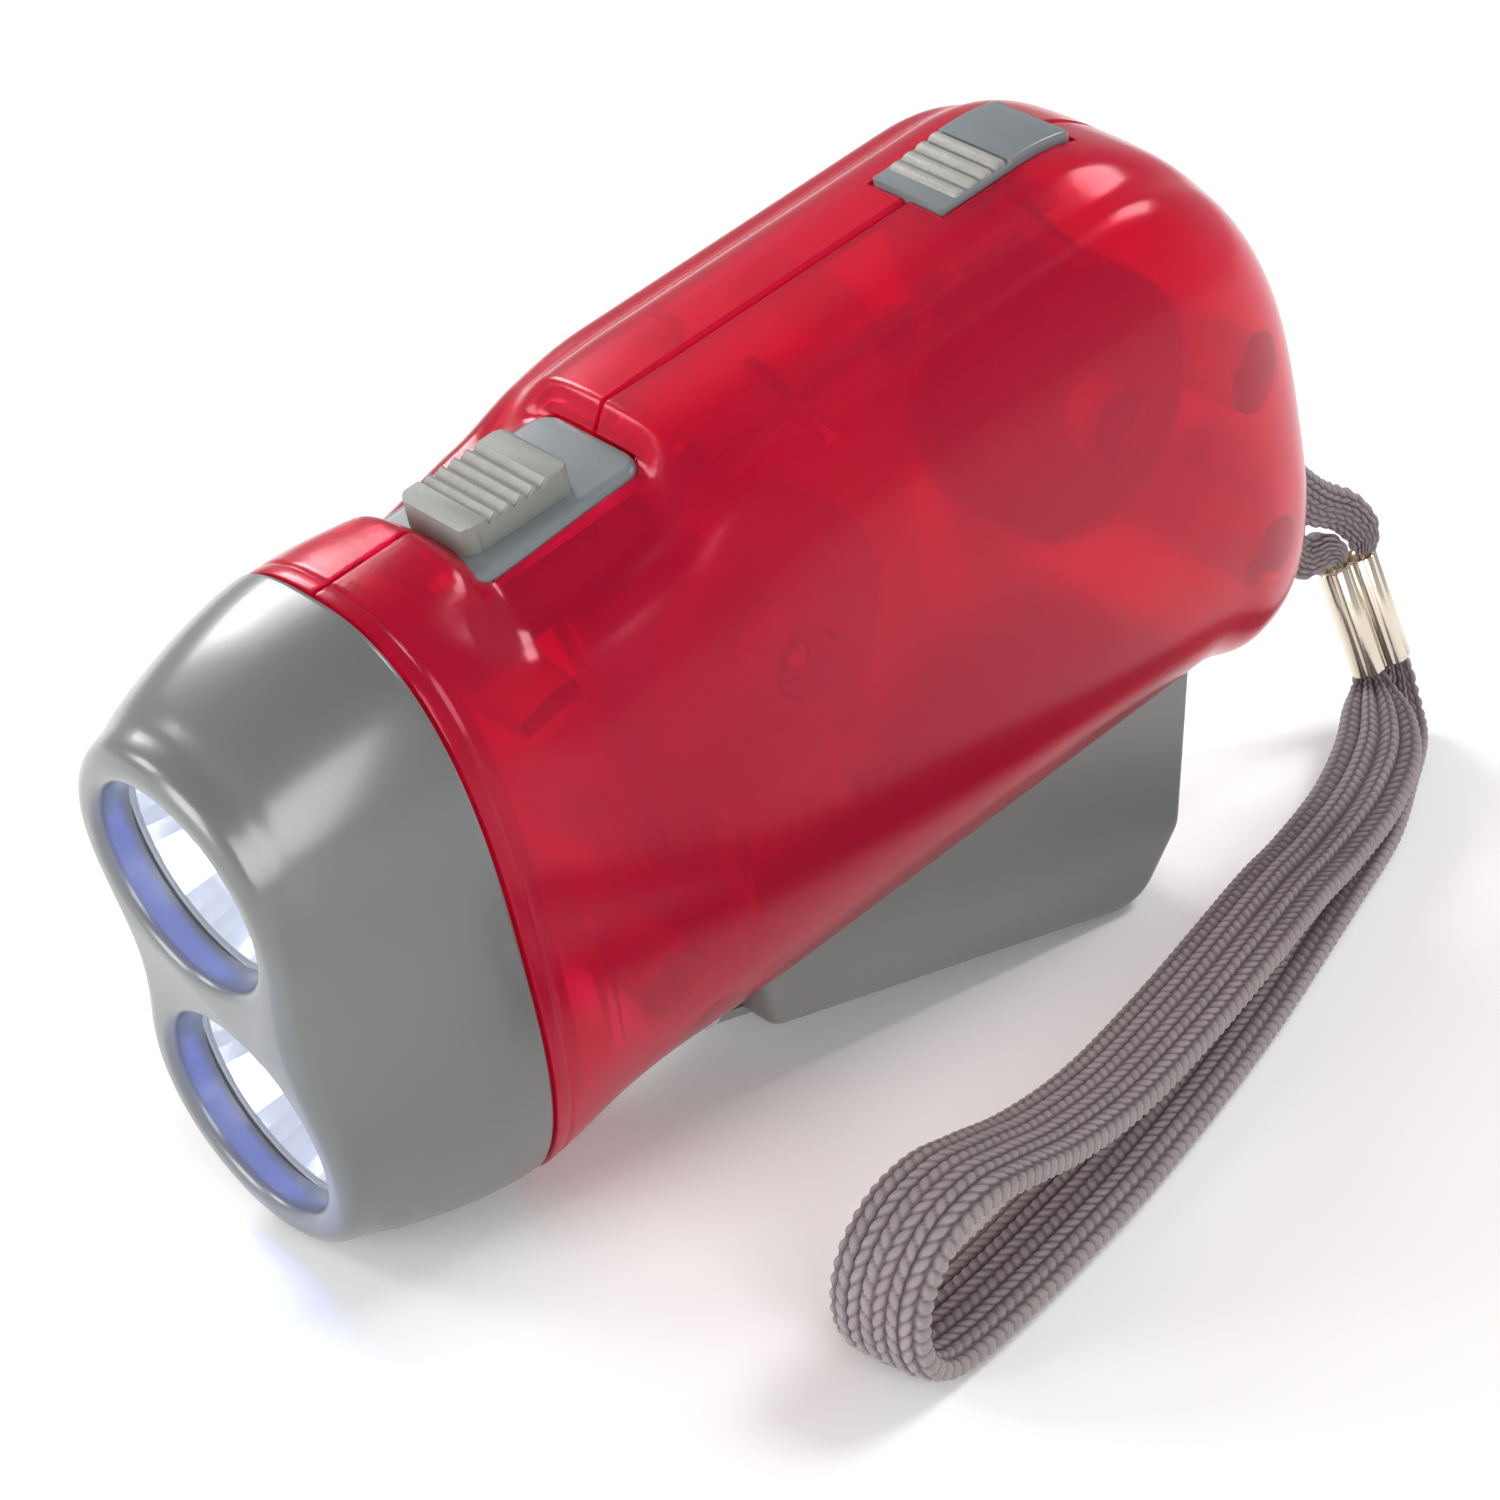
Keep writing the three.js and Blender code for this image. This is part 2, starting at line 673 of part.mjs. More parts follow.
function flywheelPinion() {
  const phase = towardFlywheel + 180 + 180 / pinionTeeth;
  const pinion = spur(flywheelX, flywheelZ, pinionTeeth, trainModule, phase, wheelTwoLowY, wheelTwoHighY);
  const hole = flywheelAxleRadius + gap;
  const bore = barY(flywheelX, flywheelZ, hole, wheelTwoLowY - overrun, wheelTwoHighY + overrun, smallSides);
  return geometryOf(pinion.subtract(bore));
}

// The lever is drawn open; this turns a solid drawn in its closed place back to the open one
function openedFromClosed(geometry) {
  geometry.translate(-hingeX, 0, -hingeZ);
  geometry.rotateY(-THREE.MathUtils.degToRad(leverTravelDegrees));
  geometry.translate(hingeX, 0, hingeZ);
  return geometry;
}

const leverSlope = Math.tan(THREE.MathUtils.degToRad(leverSlopeDegrees));
const leverRearX = hingeX - leverLength;

function leverSole(x, inset) {
  const drop = (leverBarrelRadius - inset) / Math.cos(Math.atan(leverSlope));
  return hingeZ - drop - (hingeX - x) * leverSlope;
}

// Side view of the lever, drawn in by inset and carried up past its open top by rise
function leverOutline(inset, rise = 0) {
  const frontX = hingeX - leverFrontSkip - inset;
  const cutX = leverHeelX + leverHeelCut;
  const rearShare = (leverHeelZ + leverHeelCut - leverRearTopZ) / (leverHeelZ - leverRearTopZ);
  const cutRearX = leverRearX + (leverHeelX - leverRearX) * rearShare;
  const cornerX = (cutX + cutRearX + leverHeelX) / 3;
  return [
    [frontX, leverFrontTopZ + rise],
    [leverRearX + inset, leverRearTopZ + rise],
    [cutRearX + inset, leverHeelZ + leverHeelCut],
    [cornerX + inset / 2, (leverHeelZ + leverSole(cutX, 0) + leverHeelCut / 2) / 2 + inset],
    [cutX, leverSole(cutX, inset)],
    [frontX, leverSole(frontX, inset)],
  ];
}

function lever() {
  let body = plate(leverOutline(0), -leverHalfWidth, leverHalfWidth);
  const inside = leverOutline(leverWall, leverWall);
  body = body.subtract(plate(inside, leverWall - leverHalfWidth, leverHalfWidth - leverWall));
  const tongue = [
    [hingeX, hingeZ - leverBarrelRadius],
    [hingeX - leverFrontSkip - leverWall, leverSole(hingeX - leverFrontSkip - leverWall, 0)],
    [hingeX - leverFrontSkip - leverWall, leverSole(hingeX - leverFrontSkip - leverWall, leverTongue)],
    [hingeX, hingeZ - leverBarrelRadius + leverTongue],
  ];
  body = body.add(plate(tongue.reverse(), -leverBarrelHalfWidth, leverBarrelHalfWidth));
  for (const side of [-1, 1]) {
    const inner = side * (leverBarrelHalfWidth - leverKnuckleWidth);
    body = body.add(barY(hingeX, hingeZ, leverBarrelRadius, inner, side * leverBarrelHalfWidth));
  }
  body = body.add(sector());
  const catchBlock = new THREE.BoxGeometry(
    catchTipX - (leverRearX + leverWall / 2),
    2 * catchHalfWidth,
    catchTopZ - catchBottomZ,
  );
  catchBlock.translate((catchTipX + leverRearX + leverWall / 2) / 2, 0, (catchTopZ + catchBottomZ) / 2);
  const whole = plate(leverOutline(0), -leverHalfWidth, leverHalfWidth);
  const trimmed = solid(openedFromClosed(catchBlock)).intersect(whole);
  body = body.add(trimmed);
  const between = leverBarrelHalfWidth - leverKnuckleWidth;
  const frontX = hingeX - leverFrontSkip;
  const notchLow = leverSole(frontX - leverWall, leverWall);
  const notchHigh = leverFrontTopZ + overrun;
  body = body.subtract(block(frontX - 2 * leverWall, frontX + overrun, -between, between, notchLow, notchHigh));
  const clearRadius = bearingRadius + 2 * gap;
  const clear = new THREE.CylinderGeometry(clearRadius, clearRadius, leverHalfWidth, smallSides);
  clear.translate(axleOneX, sectorLowY - gap - leverHalfWidth / 2, axleOneZ);
  body = body.subtract(solid(openedFromClosed(clear)));
  const pinHole = pinRadius + bearingClearance;
  body = body.subtract(barY(hingeX, hingeZ, pinHole, -leverHalfWidth, leverHalfWidth, smallSides));
  return geometryOf(body);
}

// Toothed fan that rises from the lever's hinge knuckle into the shell
function sector() {
  const pitchDegrees = 360 / sectorTeethFull;
  const rootCircle = sectorRadius - sectorModule * dedendumShare;
  const first = Math.ceil((sectorStartDegrees - firstAxleDegrees) / pitchDegrees);
  const last = Math.floor((sectorEndDegrees - firstAxleDegrees) / pitchDegrees);
  const points = [[hingeX, hingeZ], polar(hingeX, hingeZ, rootCircle, sectorStartDegrees)];
  for (let i = first; i <= last; i += 1) {
    points.push(...tooth(hingeX, hingeZ, sectorTeethFull, sectorModule, firstAxleDegrees + i * pitchDegrees));
  }
  const endDegrees = 180 + leverSlopeDegrees;
  for (let degrees = sectorEndDegrees + pitchDegrees; degrees < endDegrees; degrees += pitchDegrees) {
    points.push(polar(hingeX, hingeZ, rootCircle, degrees));
  }
  points.push([hingeX - rootCircle, leverSole(hingeX - rootCircle, leverWall / 2)]);
  points.push([hingeX, leverSole(hingeX, leverWall / 2)]);
  return plate(points, sectorLowY, sectorHighY);
}

// Housing pieces

const wallReach = shellHalfWidth + overrun; // a boss starts outside and is trimmed to the shell's outline
const screwSeatY = screwSeatDepth - shellHalfWidth;

function bossesOf(side) {
  const from = side * wallReach;
  const seam = (side * seamGap) / 2;
  const bosses = bossX.map((x, i) => barY(x, bossZ[i], bossRadius, from, seam));
  bosses.push(barY(hingeX, hingeZ, hingeBossRadius, from, side * (leverBarrelHalfWidth + gap)));
  bosses.push(barY(strapPostX, strapPostZ, strapPostRadius, from, seam, smallSides));
  if (side < 0) {
    const bearing = sectorLowY - gap;
    for (const [x, z] of [[axleOneX, axleOneZ], [axleTwoX, axleTwoZ], [flywheelX, flywheelZ]]) {
      bosses.push(barY(x, z, bearingRadius, from, bearing - overrun));
    }
    postX.forEach((x, i) => bosses.push(barY(x, postZ[i], postRadius, from, midPlateLowY - gap, smallSides)));
  } else {
    bosses.push(barY(flywheelX, flywheelZ, flywheelHubRadius, from, flywheelHighY + gap));
    bosses.push(barY(cellX, cellZ, cellSeatRadius, from, holderHighY + gap, smallSides));
  }
  return bosses;
}

const cellStackHighY = cellLowY + 2 * cellThickness + gap;
const holderLowY = cellStackHighY + gap + tabThickness + gap;
const holderHighY = holderLowY + holderPlate;

function shelfOf(side) {
  const from = side * (boardHalfWidth - overrun);
  const top = boardTopZ - boardThickness - gap;
  const shelf = boardThickness;
  const shelves = [
    block(boardFrontX - gap, boardFrontX - shelfFrontLength, from, side * wallReach, top - shelf, top),
  ];
  if (side < 0) {
    shelves.push(block(boardRearX + gap, boardRearX + shelfRearLength, from, side * wallReach, top - shelf, top));
  }
  return shelves;
}

function boreList() {
  const pinHole = pinRadius + gap;
  const bores = [
    barY(hingeX, hingeZ, pinHole, -pinHalfLength - gap, pinHalfLength + gap, smallSides),
    barY(axleOneX, axleOneZ, axleRadius + gap, axleLowY - gap, 0, smallSides),
    barY(axleTwoX, axleTwoZ, axleRadius + gap, axleLowY - gap, 0, smallSides),
    barY(flywheelX, flywheelZ, flywheelAxleRadius + gap, flywheelAxleLowY - gap, flywheelAxleHighY + gap, smallSides),
  ];
  bossX.forEach((x, i) => {
    bores.push(barY(x, bossZ[i], screwRadius + gap, -wallReach, screwGrip + gap, smallSides));
    bores.push(barY(x, bossZ[i], screwHeadRadius + gap, -wallReach, screwSeatY));
  });
  postX.forEach((x, i) => {
    bores.push(barY(x, postZ[i], smallScrewRadius + gap, midPlateLowY - smallScrewReach, 0, smallSides));
  });
  return bores;
}

const outerSkin = shellSkin(0, shellFrontX);
const innerSkin = shellSkin(shellWall, shellFrontX + overrun);

function shellHalf(side) {
  let body = outerSkin.subtract(innerSkin);
  for (const piece of [...bossesOf(side), ...shelfOf(side)]) {
    body = body.add(piece.intersect(outerSkin));
  }
  const cuts = boreList();
  const far = 2 * shellHalfWidth;
  cuts.push(block(slotRearX, slotStepX, -slotHalfWidth, slotHalfWidth, -far, slotTopZ));
  cuts.push(block(slotStepX, slotFrontX, -slotFrontHalfWidth, slotFrontHalfWidth, -far, slotTopZ));
  const channel = plateHalfWidth + gap;
  const channelTop = plateTopZ + gap;
  cuts.push(block(windowRearX, windowFrontX, -channel, channel, plateTopZ - plateThickness - gap, far));
  const channelRear = plateRearX - switchTravel - gap;
  cuts.push(block(channelRear, plateFrontX + gap, -channel, channel, plateTopZ - plateThickness - gap, channelTop));
  const forkSide = knobHalfWidth / 2 + gap;
  const forkFront = nubX + nubLength / 2 + forkWall + 2 * gap;
  const forkRear = nubX - nubLength / 2 - forkWall - switchTravel - 2 * gap;
  cuts.push(block(forkRear, forkFront, -forkSide, forkSide, plateTopZ - plateThickness - forkDepth, plateTopZ));
  const lockSlotRear = lockStemRearX - lockTravel - gap;
  cuts.push(block(lockSlotRear, lockStemFrontX + gap, -lockSlotHalfWidth, lockSlotHalfWidth, hookPlateTopZ, far));
  const low = strapPostZ - strapWindowHalfHeight;
  const high = strapPostZ + strapWindowHalfHeight;
  const inner = strapPostX + strapWindowHalfHeight;
  const opening = block(tailX - overrun, inner, -strapWindowHalfWidth, strapWindowHalfWidth, low, high);
  cuts.push(opening.subtract(barY(strapPostX, strapPostZ, strapPostRadius, -far, far, smallSides)));
  cuts.push(block(shellFrontX - 2 * shellLength, shellFrontX + shellLength, (side * seamGap) / 2, -side * far, -far, far));
  for (const cut of cuts) {
    body = body.subtract(cut);
  }
  return geometryOf(largestPiece(body));
}

// Cutting can leave a loose crumb behind; the shell is the largest piece
function largestPiece(body) {
  return body.decompose().sort((a, b) => b.volume() - a.volume())[0];
}

// Head outline: two lobes round the openings at the front, the shell's section at the rear

function lobeOutline(angle, radius) {
  const s = Math.abs(Math.sin(angle));
  const c = Math.abs(Math.cos(angle));
  const crown = ledHalfSpacing * c + Math.sqrt(Math.max(0, radius ** 2 - (ledHalfSpacing * s) ** 2));
  if (crown * c >= ledHalfSpacing) return crown;
  let reach = radius / s;
  for (let step = 0; step < waistSteps; step += 1) {
    const along = Math.min(1, (reach * c) / ledHalfSpacing);
    const waist = waistDepth * Math.cos((Math.PI / 2) * along) ** 2;
    reach = (radius - waist) / s;
  }
  return reach;
}

function rearOutline(angle, inset) {
  const s = Math.abs(Math.sin(angle)) / (headHalfWidth - inset);
  const c = Math.abs(Math.cos(angle)) / (headHalfHeight - inset);
  return (s ** frontPower + c ** frontPower) ** (-1 / frontPower);
}

const headLength = -shellFrontX - seamGap;

function headRing(x, inset) {
  const share = Math.min(1, Math.max(0, -x / headLength));
  const edge = Math.max(0, 1 + x / headEdgeRadius);
  const round = headEdgeRadius * (1 - Math.sqrt(1 - edge ** 2));
  const blend = 1 - (1 - share) ** headBlendPower;
  const ring = [];
  for (let j = 0; j < 2 * ringPoints; j += 1) {
    const angle = (Math.PI * j) / ringPoints;
    const front = lobeOutline(angle, lobeRadius - inset - round);
    const reach = front + (rearOutline(angle, inset) - front) * blend;
    ring.push(new THREE.Vector3(x, reach * Math.sin(angle), reach * Math.cos(angle)));
  }
  return ring;
}

const headBlendPower = 1.6; // how fast the lobes fill out to the round rear
const head_edge_share = 0.3;
const head_station_shares = [0.085, 0.2, 0.35, 0.5, 0.65, 0.82, 1];

function headSkin(inset, startX, endX) {
  const stations = [startX];
  if (startX === 0) {
    stations.push(-headEdgeRadius * head_edge_share);
  }
  for (const share of head_station_shares) {
    const x = -headLength * share;
    if (x < startX && x > endX) stations.push(x);
  }
  stations.push(endX);
  const rings = stations.map((x) => headRing(x, inset));
  return solid(loft(rings, new THREE.Vector3(startX, 0, 0), new THREE.Vector3(endX, 0, 0)));
}

function headBezel() {
  let body = headSkin(0, 0, -headLength);
  const spigotInset = shellWall + gap;
  const spigot = headSkin(spigotInset, headCavityX, -headLength - spigotLength);
  const spigotEnd = -headLength - spigotLength;
  body = body.add(spigot);
  body = body.subtract(headSkin(headWall, headCavityX, -headLength - bond));
  body = body.subtract(headSkin(spigotInset + spigotWall, headCavityX, spigotEnd - overrun));
  for (const z of [-ledHalfSpacing, ledHalfSpacing]) {
    body = body.subtract(barX(0, z, openingRadius, -openingDepth - bond, overrun, 2 * roundSides));
    body = body.subtract(barX(0, z, lensRadius + gap, headCavityX - overrun, -openingDepth, roundSides));
  }
  return geometryOf(largestPiece(body));
}

const lensFrontX = -openingDepth - gap;
const reflectorFrontX = lensFrontX - lensThickness - gap;
const reflectorRearX = reflectorFrontX - reflectorLength;
const ledSeatX = reflectorRearX - gap;
const ledBoardFrontX = ledSeatX - ledFlangeHeight;

// How much of the lens's thickness its rim has, and of the opening's radius its raised face
const lens_shares = { rim: 0.6, face: 0.96 };

function lens(z) {
  const profile = [
    [0, 0], [lensRadius, 0], [lensRadius, lensThickness * lens_shares.rim],
    [openingRadius * lens_shares.face, lensThickness], [0, lensThickness],
  ];
  return turnedX(profile, 0, z, lensFrontX - lensThickness);
}

const bowl_height_shares = [0, 0.15, 0.35, 0.6, 1];

function reflector(z) {
  const grow = reflectorMouthRadius - reflectorThroatRadius;
  const inside = bowl_height_shares.map((share) => [
    reflectorThroatRadius - reflectorWall + (grow * Math.sqrt(share)),
    reflectorLength * share,
  ]);
  const outside = bowl_height_shares.map((share) => [
    reflectorThroatRadius + grow * Math.sqrt(share),
    reflectorLength * share,
  ]);
  const profile = [...outside, ...inside.reverse(), outside[0]];
  return turnedX(profile, 0, z, reflectorRearX);
}

const domeDegrees = [0, 30, 60];

function led(z) {
  const domeFoot = ledHeight - ledRadius;
  const dome = domeDegrees.map((degrees) => {
    const up = THREE.MathUtils.degToRad(degrees);
    return [ledRadius * Math.cos(up), domeFoot + ledRadius * Math.sin(up)];
  });
  const profile = [
    [0, 0], [ledFlangeRadius, 0], [ledFlangeRadius, ledFlangeHeight], [ledRadius, ledFlangeHeight],
    ...dome, [0, ledHeight],
  ];
  let body = solid(turnedX(profile, 0, z, ledBoardFrontX, smallSides));
  for (const side of [-1, 1]) {
    const y = (side * ledLegSpacing) / 2;
    body = body.add(barX(y, z, ledLegRadius, ledBoardFrontX - ledLegLength, ledBoardFrontX + bond, legSides));
  }
  return geometryOf(body);
}

function ledBoard() {
  const front = ledBoardFrontX - gap;
  const height = ledBoardHalfHeight;
  let body = block(front - ledBoardThickness, front, -ledBoardHalfWidth, ledBoardHalfWidth, -height, height);
  for (const z of [-ledHalfSpacing, ledHalfSpacing]) {
    for (const side of [-1, 1]) {
      const y = (side * ledLegSpacing) / 2;
      body = body.subtract(barX(y, z, ledLegHoleRadius, front - 2 * ledBoardThickness, front + overrun, pinSides));
    }
  }
  return geometryOf(body);
}

// Switch pieces

function switchSlider() {
  const r = plateCornerRadius;
  const w = plateHalfWidth;
  const outline = new THREE.Shape();
  outline.moveTo(plateFrontX, -w);
  outline.lineTo(plateFrontX, w);
  outline.lineTo(plateRearX + r, w);
  outline.absarc(plateRearX + r, w - r, r, Math.PI / 2, Math.PI, false);
  outline.lineTo(plateRearX, r - w);
  outline.absarc(plateRearX + r, r - w, r, Math.PI, 1.5 * Math.PI, false);
  outline.closePath();
  const drawn = { depth: plateThickness, bevelEnabled: false, curveSegments: cornerSides };
  const slab = new THREE.ExtrudeGeometry(outline, drawn);
  slab.translate(0, 0, plateTopZ - plateThickness);
  let body = solid(slab);
  const top = plateTopZ + knobHeight;
  const knob = [
    [knobFrontX, plateTopZ - bond], [knobFrontX, top - knobRibHeight], [knobFrontX - knobRibHeight, top],
  ];
  for (let i = 0; i < knobRibCount; i += 1) {
    const x = knobRibStartX - i * knobRibPitch;
    knob.push([x, top], [x - knobRibPitch / 2, top - knobRibHeight], [x - knobRibPitch, top]);
  }
  knob.push([knobRearX, top], [knobRearX, plateTopZ - bond]);
  body = body.add(plate(withoutRepeats(knob), -knobHalfWidth, knobHalfWidth));
  for (const x of [nubX + nubLength / 2 + gap, nubX - nubLength / 2 - gap - forkWall]) {
    const forkTop = plateTopZ - plateThickness + bond;
    body = body.add(block(x, x + forkWall, -knobHalfWidth / 2, knobHalfWidth / 2, forkTop - forkDepth, forkTop));
  }
  return geometryOf(body);
}

function withoutRepeats(points) {
  return points.filter(([x, z], i) => {
    const [nextX, nextZ] = points[(i + 1) % points.length];
    return Math.hypot(nextX - x, nextZ - z) > 1e-6;
  });
}

const switchCaseLowZ = boardTopZ + gap;

function switchCase() {
  const top = switchCaseLowZ + switchCaseHeight;
  const wall = switchCaseWall;
  const w = switchCaseHalfWidth;
  const body = block(switchCaseRearX, switchCaseFrontX, -w, w, switchCaseLowZ, top);
  const slotFront = nubX + nubLength / 2 + gap;
  const slotRear = nubX - nubLength / 2 - switchTravel - gap;
  const slot = nubHalfWidth + gap;
  return geometryOf(body.subtract(block(slotRear, slotFront, -slot, slot, switchCaseLowZ + wall, top + overrun)));
}

function switchNub() {
  const low = switchCaseLowZ + switchCaseWall + gap;
  const half = nubLength / 2;
  return geometryOf(block(nubX - half, nubX + half, -nubHalfWidth, nubHalfWidth, low, low + nubHeight));
}

function mainBoard() {
  const low = boardTopZ - boardThickness;
  return geometryOf(block(boardRearX, boardFrontX, -boardHalfWidth, boardHalfWidth, low, boardTopZ));
}

// Lock pieces

// Shares of the rib pitch, of the pad's length and of its height that shape the slider's outline
const lock_shares = { ribTip: 0.75, pad: [0.05, 0.5, 0.85], rearEdge: 0.4 };

function lockSlider() {
  const under = (x) => crestAt(x, 0) + gap;
  const steps = 6;
  const points = [];
  for (let i = 0; i <= steps; i += 1) {
    const x = lockRearX + ((lockFrontX - lockRearX) * i) / steps;
    points.push([x, under(x)]);
  }
  const ribEndX = lockFrontX - lockRibCount * lockRibPitch;
  points.push([lockFrontX, under(lockFrontX) + lockNoseHeight]);
  for (let i = 0; i < lockRibCount; i += 1) {
    const x = lockFrontX - i * lockRibPitch;
    const climb = lockNoseHeight + ((lockPadHeight - lockNoseHeight) * i) / lockRibCount;
    points.push([x - lockRibPitch * lock_shares.ribTip, under(x) + climb + lockRibHeight]);
    points.push([x - lockRibPitch, under(x) + climb]);
  }
  const padLength = ribEndX - lockRearX;
  for (const share of lock_shares.pad) {
    const x = ribEndX - padLength * share;
    points.push([x, under(x) + lockPadHeight]);
  }
  points.push([lockRearX, under(lockRearX) + lockPadHeight * lock_shares.rearEdge]);
  let body = plate(points.reverse(), -lockHalfWidth, lockHalfWidth);
  const stemLow = hookPlateTopZ + gap;
  const stemTop = under(lockStemRearX) + lockPadHeight / 2;
  const w = lockStemHalfWidth;
  body = body.add(block(lockStemRearX, lockStemFrontX, -w, w, stemLow, stemTop));
  const pilot = lockScrewRadius + gap;
  body = body.subtract(barZ(lockScrewX, 0, pilot, stemLow - overrun, stemLow + lockScrewReach, smallSides));
  return geometryOf(body);
}

const lockScrewX = (lockStemFrontX + lockStemRearX) / 2;

// Round bar along Z
function barZ(x, y, radius, z0, z1, sides = roundSides) {
  const geometry = new THREE.CylinderGeometry(radius, radius, Math.abs(z1 - z0), sides);
  geometry.rotateX(Math.PI / 2);
  geometry.translate(x, y, (z0 + z1) / 2);
  return solid(geometry);
}

function lockHook() {
  const low = hookPlateTopZ - hookPlateThickness;
  const w = hookPlateHalfWidth;
  let body = block(hookPlateRearX, hookPlateFrontX, -w, w, low, hookPlateTopZ);
  const footTop = catchBottomZ - hookSlack;
  const footLow = footTop - hookFootThickness;
  const armRear = hookArmFrontX - hookArmThickness;
  body = body.add(block(armRear, hookArmFrontX, hookArmLowY, hookArmHighY, footLow, low + bond));
  body = body.add(block(hookFootTipX, hookArmFrontX, hookArmLowY, hookArmHighY, footLow, footTop));
  const hole = lockScrewRadius + gap;
  body = body.subtract(barZ(lockScrewX, 0, hole, low - overrun, hookPlateTopZ + overrun, smallSides));
  return geometryOf(body);
}

function lockScrew() {
  const under = hookPlateTopZ - hookPlateThickness - gap;
  let body = barZ(lockScrewX, 0, lockScrewRadius, under - bond, hookPlateTopZ + lockScrewReach - gap, smallSides);
  body = body.add(barZ(lockScrewX, 0, lockScrewHeadRadius, under - lockScrewHeadHeight, under, smallSides));
  const slot = block(
    lockScrewX - 2 * lockScrewHeadRadius,
    lockScrewX + 2 * lockScrewHeadRadius,
    -crossSlotWidth / 2,
    crossSlotWidth / 2,
    under - 2 * lockScrewHeadHeight,
    under - lockScrewHeadHeight + crossSlotDepth / 2,
  );
  return geometryOf(body.subtract(slot));
}

// Generator pieces

function midPlate() {
  const m = midPlateMargin;
  const [rearX, topX, frontX] = postX;
  const [rearZ, topZ, frontZ] = postZ;
  const lowZ = flywheelZ - coreDrop - coilHalfHeight;
  const outline = [
    [rearX - m / 2, rearZ + m / 2], [topX - m, topZ + postRadius], [topX + postRadius, topZ + postRadius],
    [topX + postRadius, boardTopZ - 2 * boardThickness], [frontX + m, frontZ + m], [frontX + m, frontZ],
    [frontX, frontZ - m], [flywheelX + coreHalfWidth, lowZ], [axleOneX, axleOneZ - m],
    [axleOneX - m, axleOneZ], [rearX - m / 2, rearZ - m / 2],
  ];
  let body = plate(outline, midPlateLowY, midPlateHighY);
  const low = midPlateLowY - overrun;
  const high = midPlateHighY + overrun;
  const holes = [[axleOneX, axleOneZ, boreRadius], [axleTwoX, axleTwoZ, boreRadius]];
  holes.push([flywheelX, flywheelZ, flywheelAxleRadius + 2 * gap]);
  postX.forEach((x, i) => holes.push([x, postZ[i], smallScrewRadius + gap]));
  for (const x of coreScrewX) holes.push([x, coreScrewZ, smallScrewRadius + gap]);
  for (const [x, z, radius] of holes) {
    body = body.subtract(barY(x, z, radius, low, high, smallSides));
  }
  const barTop = flywheelZ - coreDrop + coreBarHeight / 2 + coilHalfHeight + gap;
  const barLow = flywheelZ - coreDrop + coreBarHeight / 2 - coilHalfHeight - gap;
  const half = windingHalfLength + bobbinFlange + gap;
  body = body.subtract(block(flywheelX - half, flywheelX + half, low, high, barLow, barTop));
  return geometryOf(body);
}

const shoeChord = Math.sqrt((magnetRadius + airGap) ** 2 - coreShoeHeight ** 2);
const windingHalfLength = shoeChord - gap - bobbinFlange;
const coreScrewX = [flywheelX - coreHalfWidth + coreScrewInset, flywheelX + coreHalfWidth - coreScrewInset];
const coreScrewZ = flywheelZ - coreDrop + coreScrewInset;

function core() {
  const r = magnetRadius + airGap;
  const up = Math.asin(coreShoeHeight / r);
  const shape = new THREE.Shape();
  const x = flywheelX;
  const z = flywheelZ;
  shape.moveTo(x - coreHalfWidth, z - coreDrop);
  shape.lineTo(x + coreHalfWidth, z - coreDrop);
  shape.lineTo(x + coreHalfWidth, z + coreShoeHeight);
  shape.lineTo(x + shoeChord, z + coreShoeHeight);
  shape.absarc(x, z, r, up, -up, true);
  shape.lineTo(x + shoeChord, z - coreDrop + coreBarHeight);
  shape.lineTo(x - shoeChord, z - coreDrop + coreBarHeight);
  shape.lineTo(x - shoeChord, z - coreShoeHeight);
  shape.absarc(x, z, r, Math.PI + up, Math.PI - up, true);
  shape.lineTo(x - coreHalfWidth, z + coreShoeHeight);
  shape.closePath();
  let body = solid(plateGeometry(shape, coreLowY, coreHighY, pinSides));
  for (const sx of coreScrewX) {
    body = body.subtract(barY(sx, coreScrewZ, smallScrewRadius + gap, coreLowY - overrun, coreHighY + overrun, smallSides));
  }
  return geometryOf(body);
}

const coreMiddleY = (coreLowY + coreHighY) / 2;
const barMiddleZ = flywheelZ - coreDrop + coreBarHeight / 2;

// Square ring along X round the core's lower bar
function sleeve(x0, x1, halfY, halfZ, holeY, holeZ) {
  const outer = block(x0, x1, coreMiddleY - halfY, coreMiddleY + halfY, barMiddleZ - halfZ, barMiddleZ + halfZ);
  const y = coreMiddleY;
  const z = barMiddleZ;
  return outer.subtract(block(x0 - overrun, x1 + overrun, y - holeY, y + holeY, z - holeZ, z + holeZ));
}

const holeHalfY = (coreHighY - coreLowY) / 2 + gap;
const holeHalfZ = coreBarHeight / 2 + gap;

function bobbin() {
  const end = windingHalfLength + bobbinFlange;
  const x = flywheelX;
  let body = sleeve(x - end, x + end, holeHalfY + bobbinWall, holeHalfZ + bobbinWall, holeHalfY, holeHalfZ);
  for (const side of [-1, 1]) {
    const edges = [x + side * windingHalfLength, x + side * end];
    const flange = sleeve(Math.min(...edges), Math.max(...edges), coilHalfDepth, coilHalfHeight, holeHalfY, holeHalfZ);
    body = body.add(flange);
  }
  return geometryOf(body);
}

function winding() {
  const end = windingHalfLength - gap;
  const holeY = holeHalfY + bobbinWall + gap;
  const holeZ = holeHalfZ + bobbinWall + gap;
  const depth = coilHalfDepth - gap;
  return geometryOf(sleeve(flywheelX - end, flywheelX + end, depth, coilHalfHeight - gap, holeY, holeZ));
}

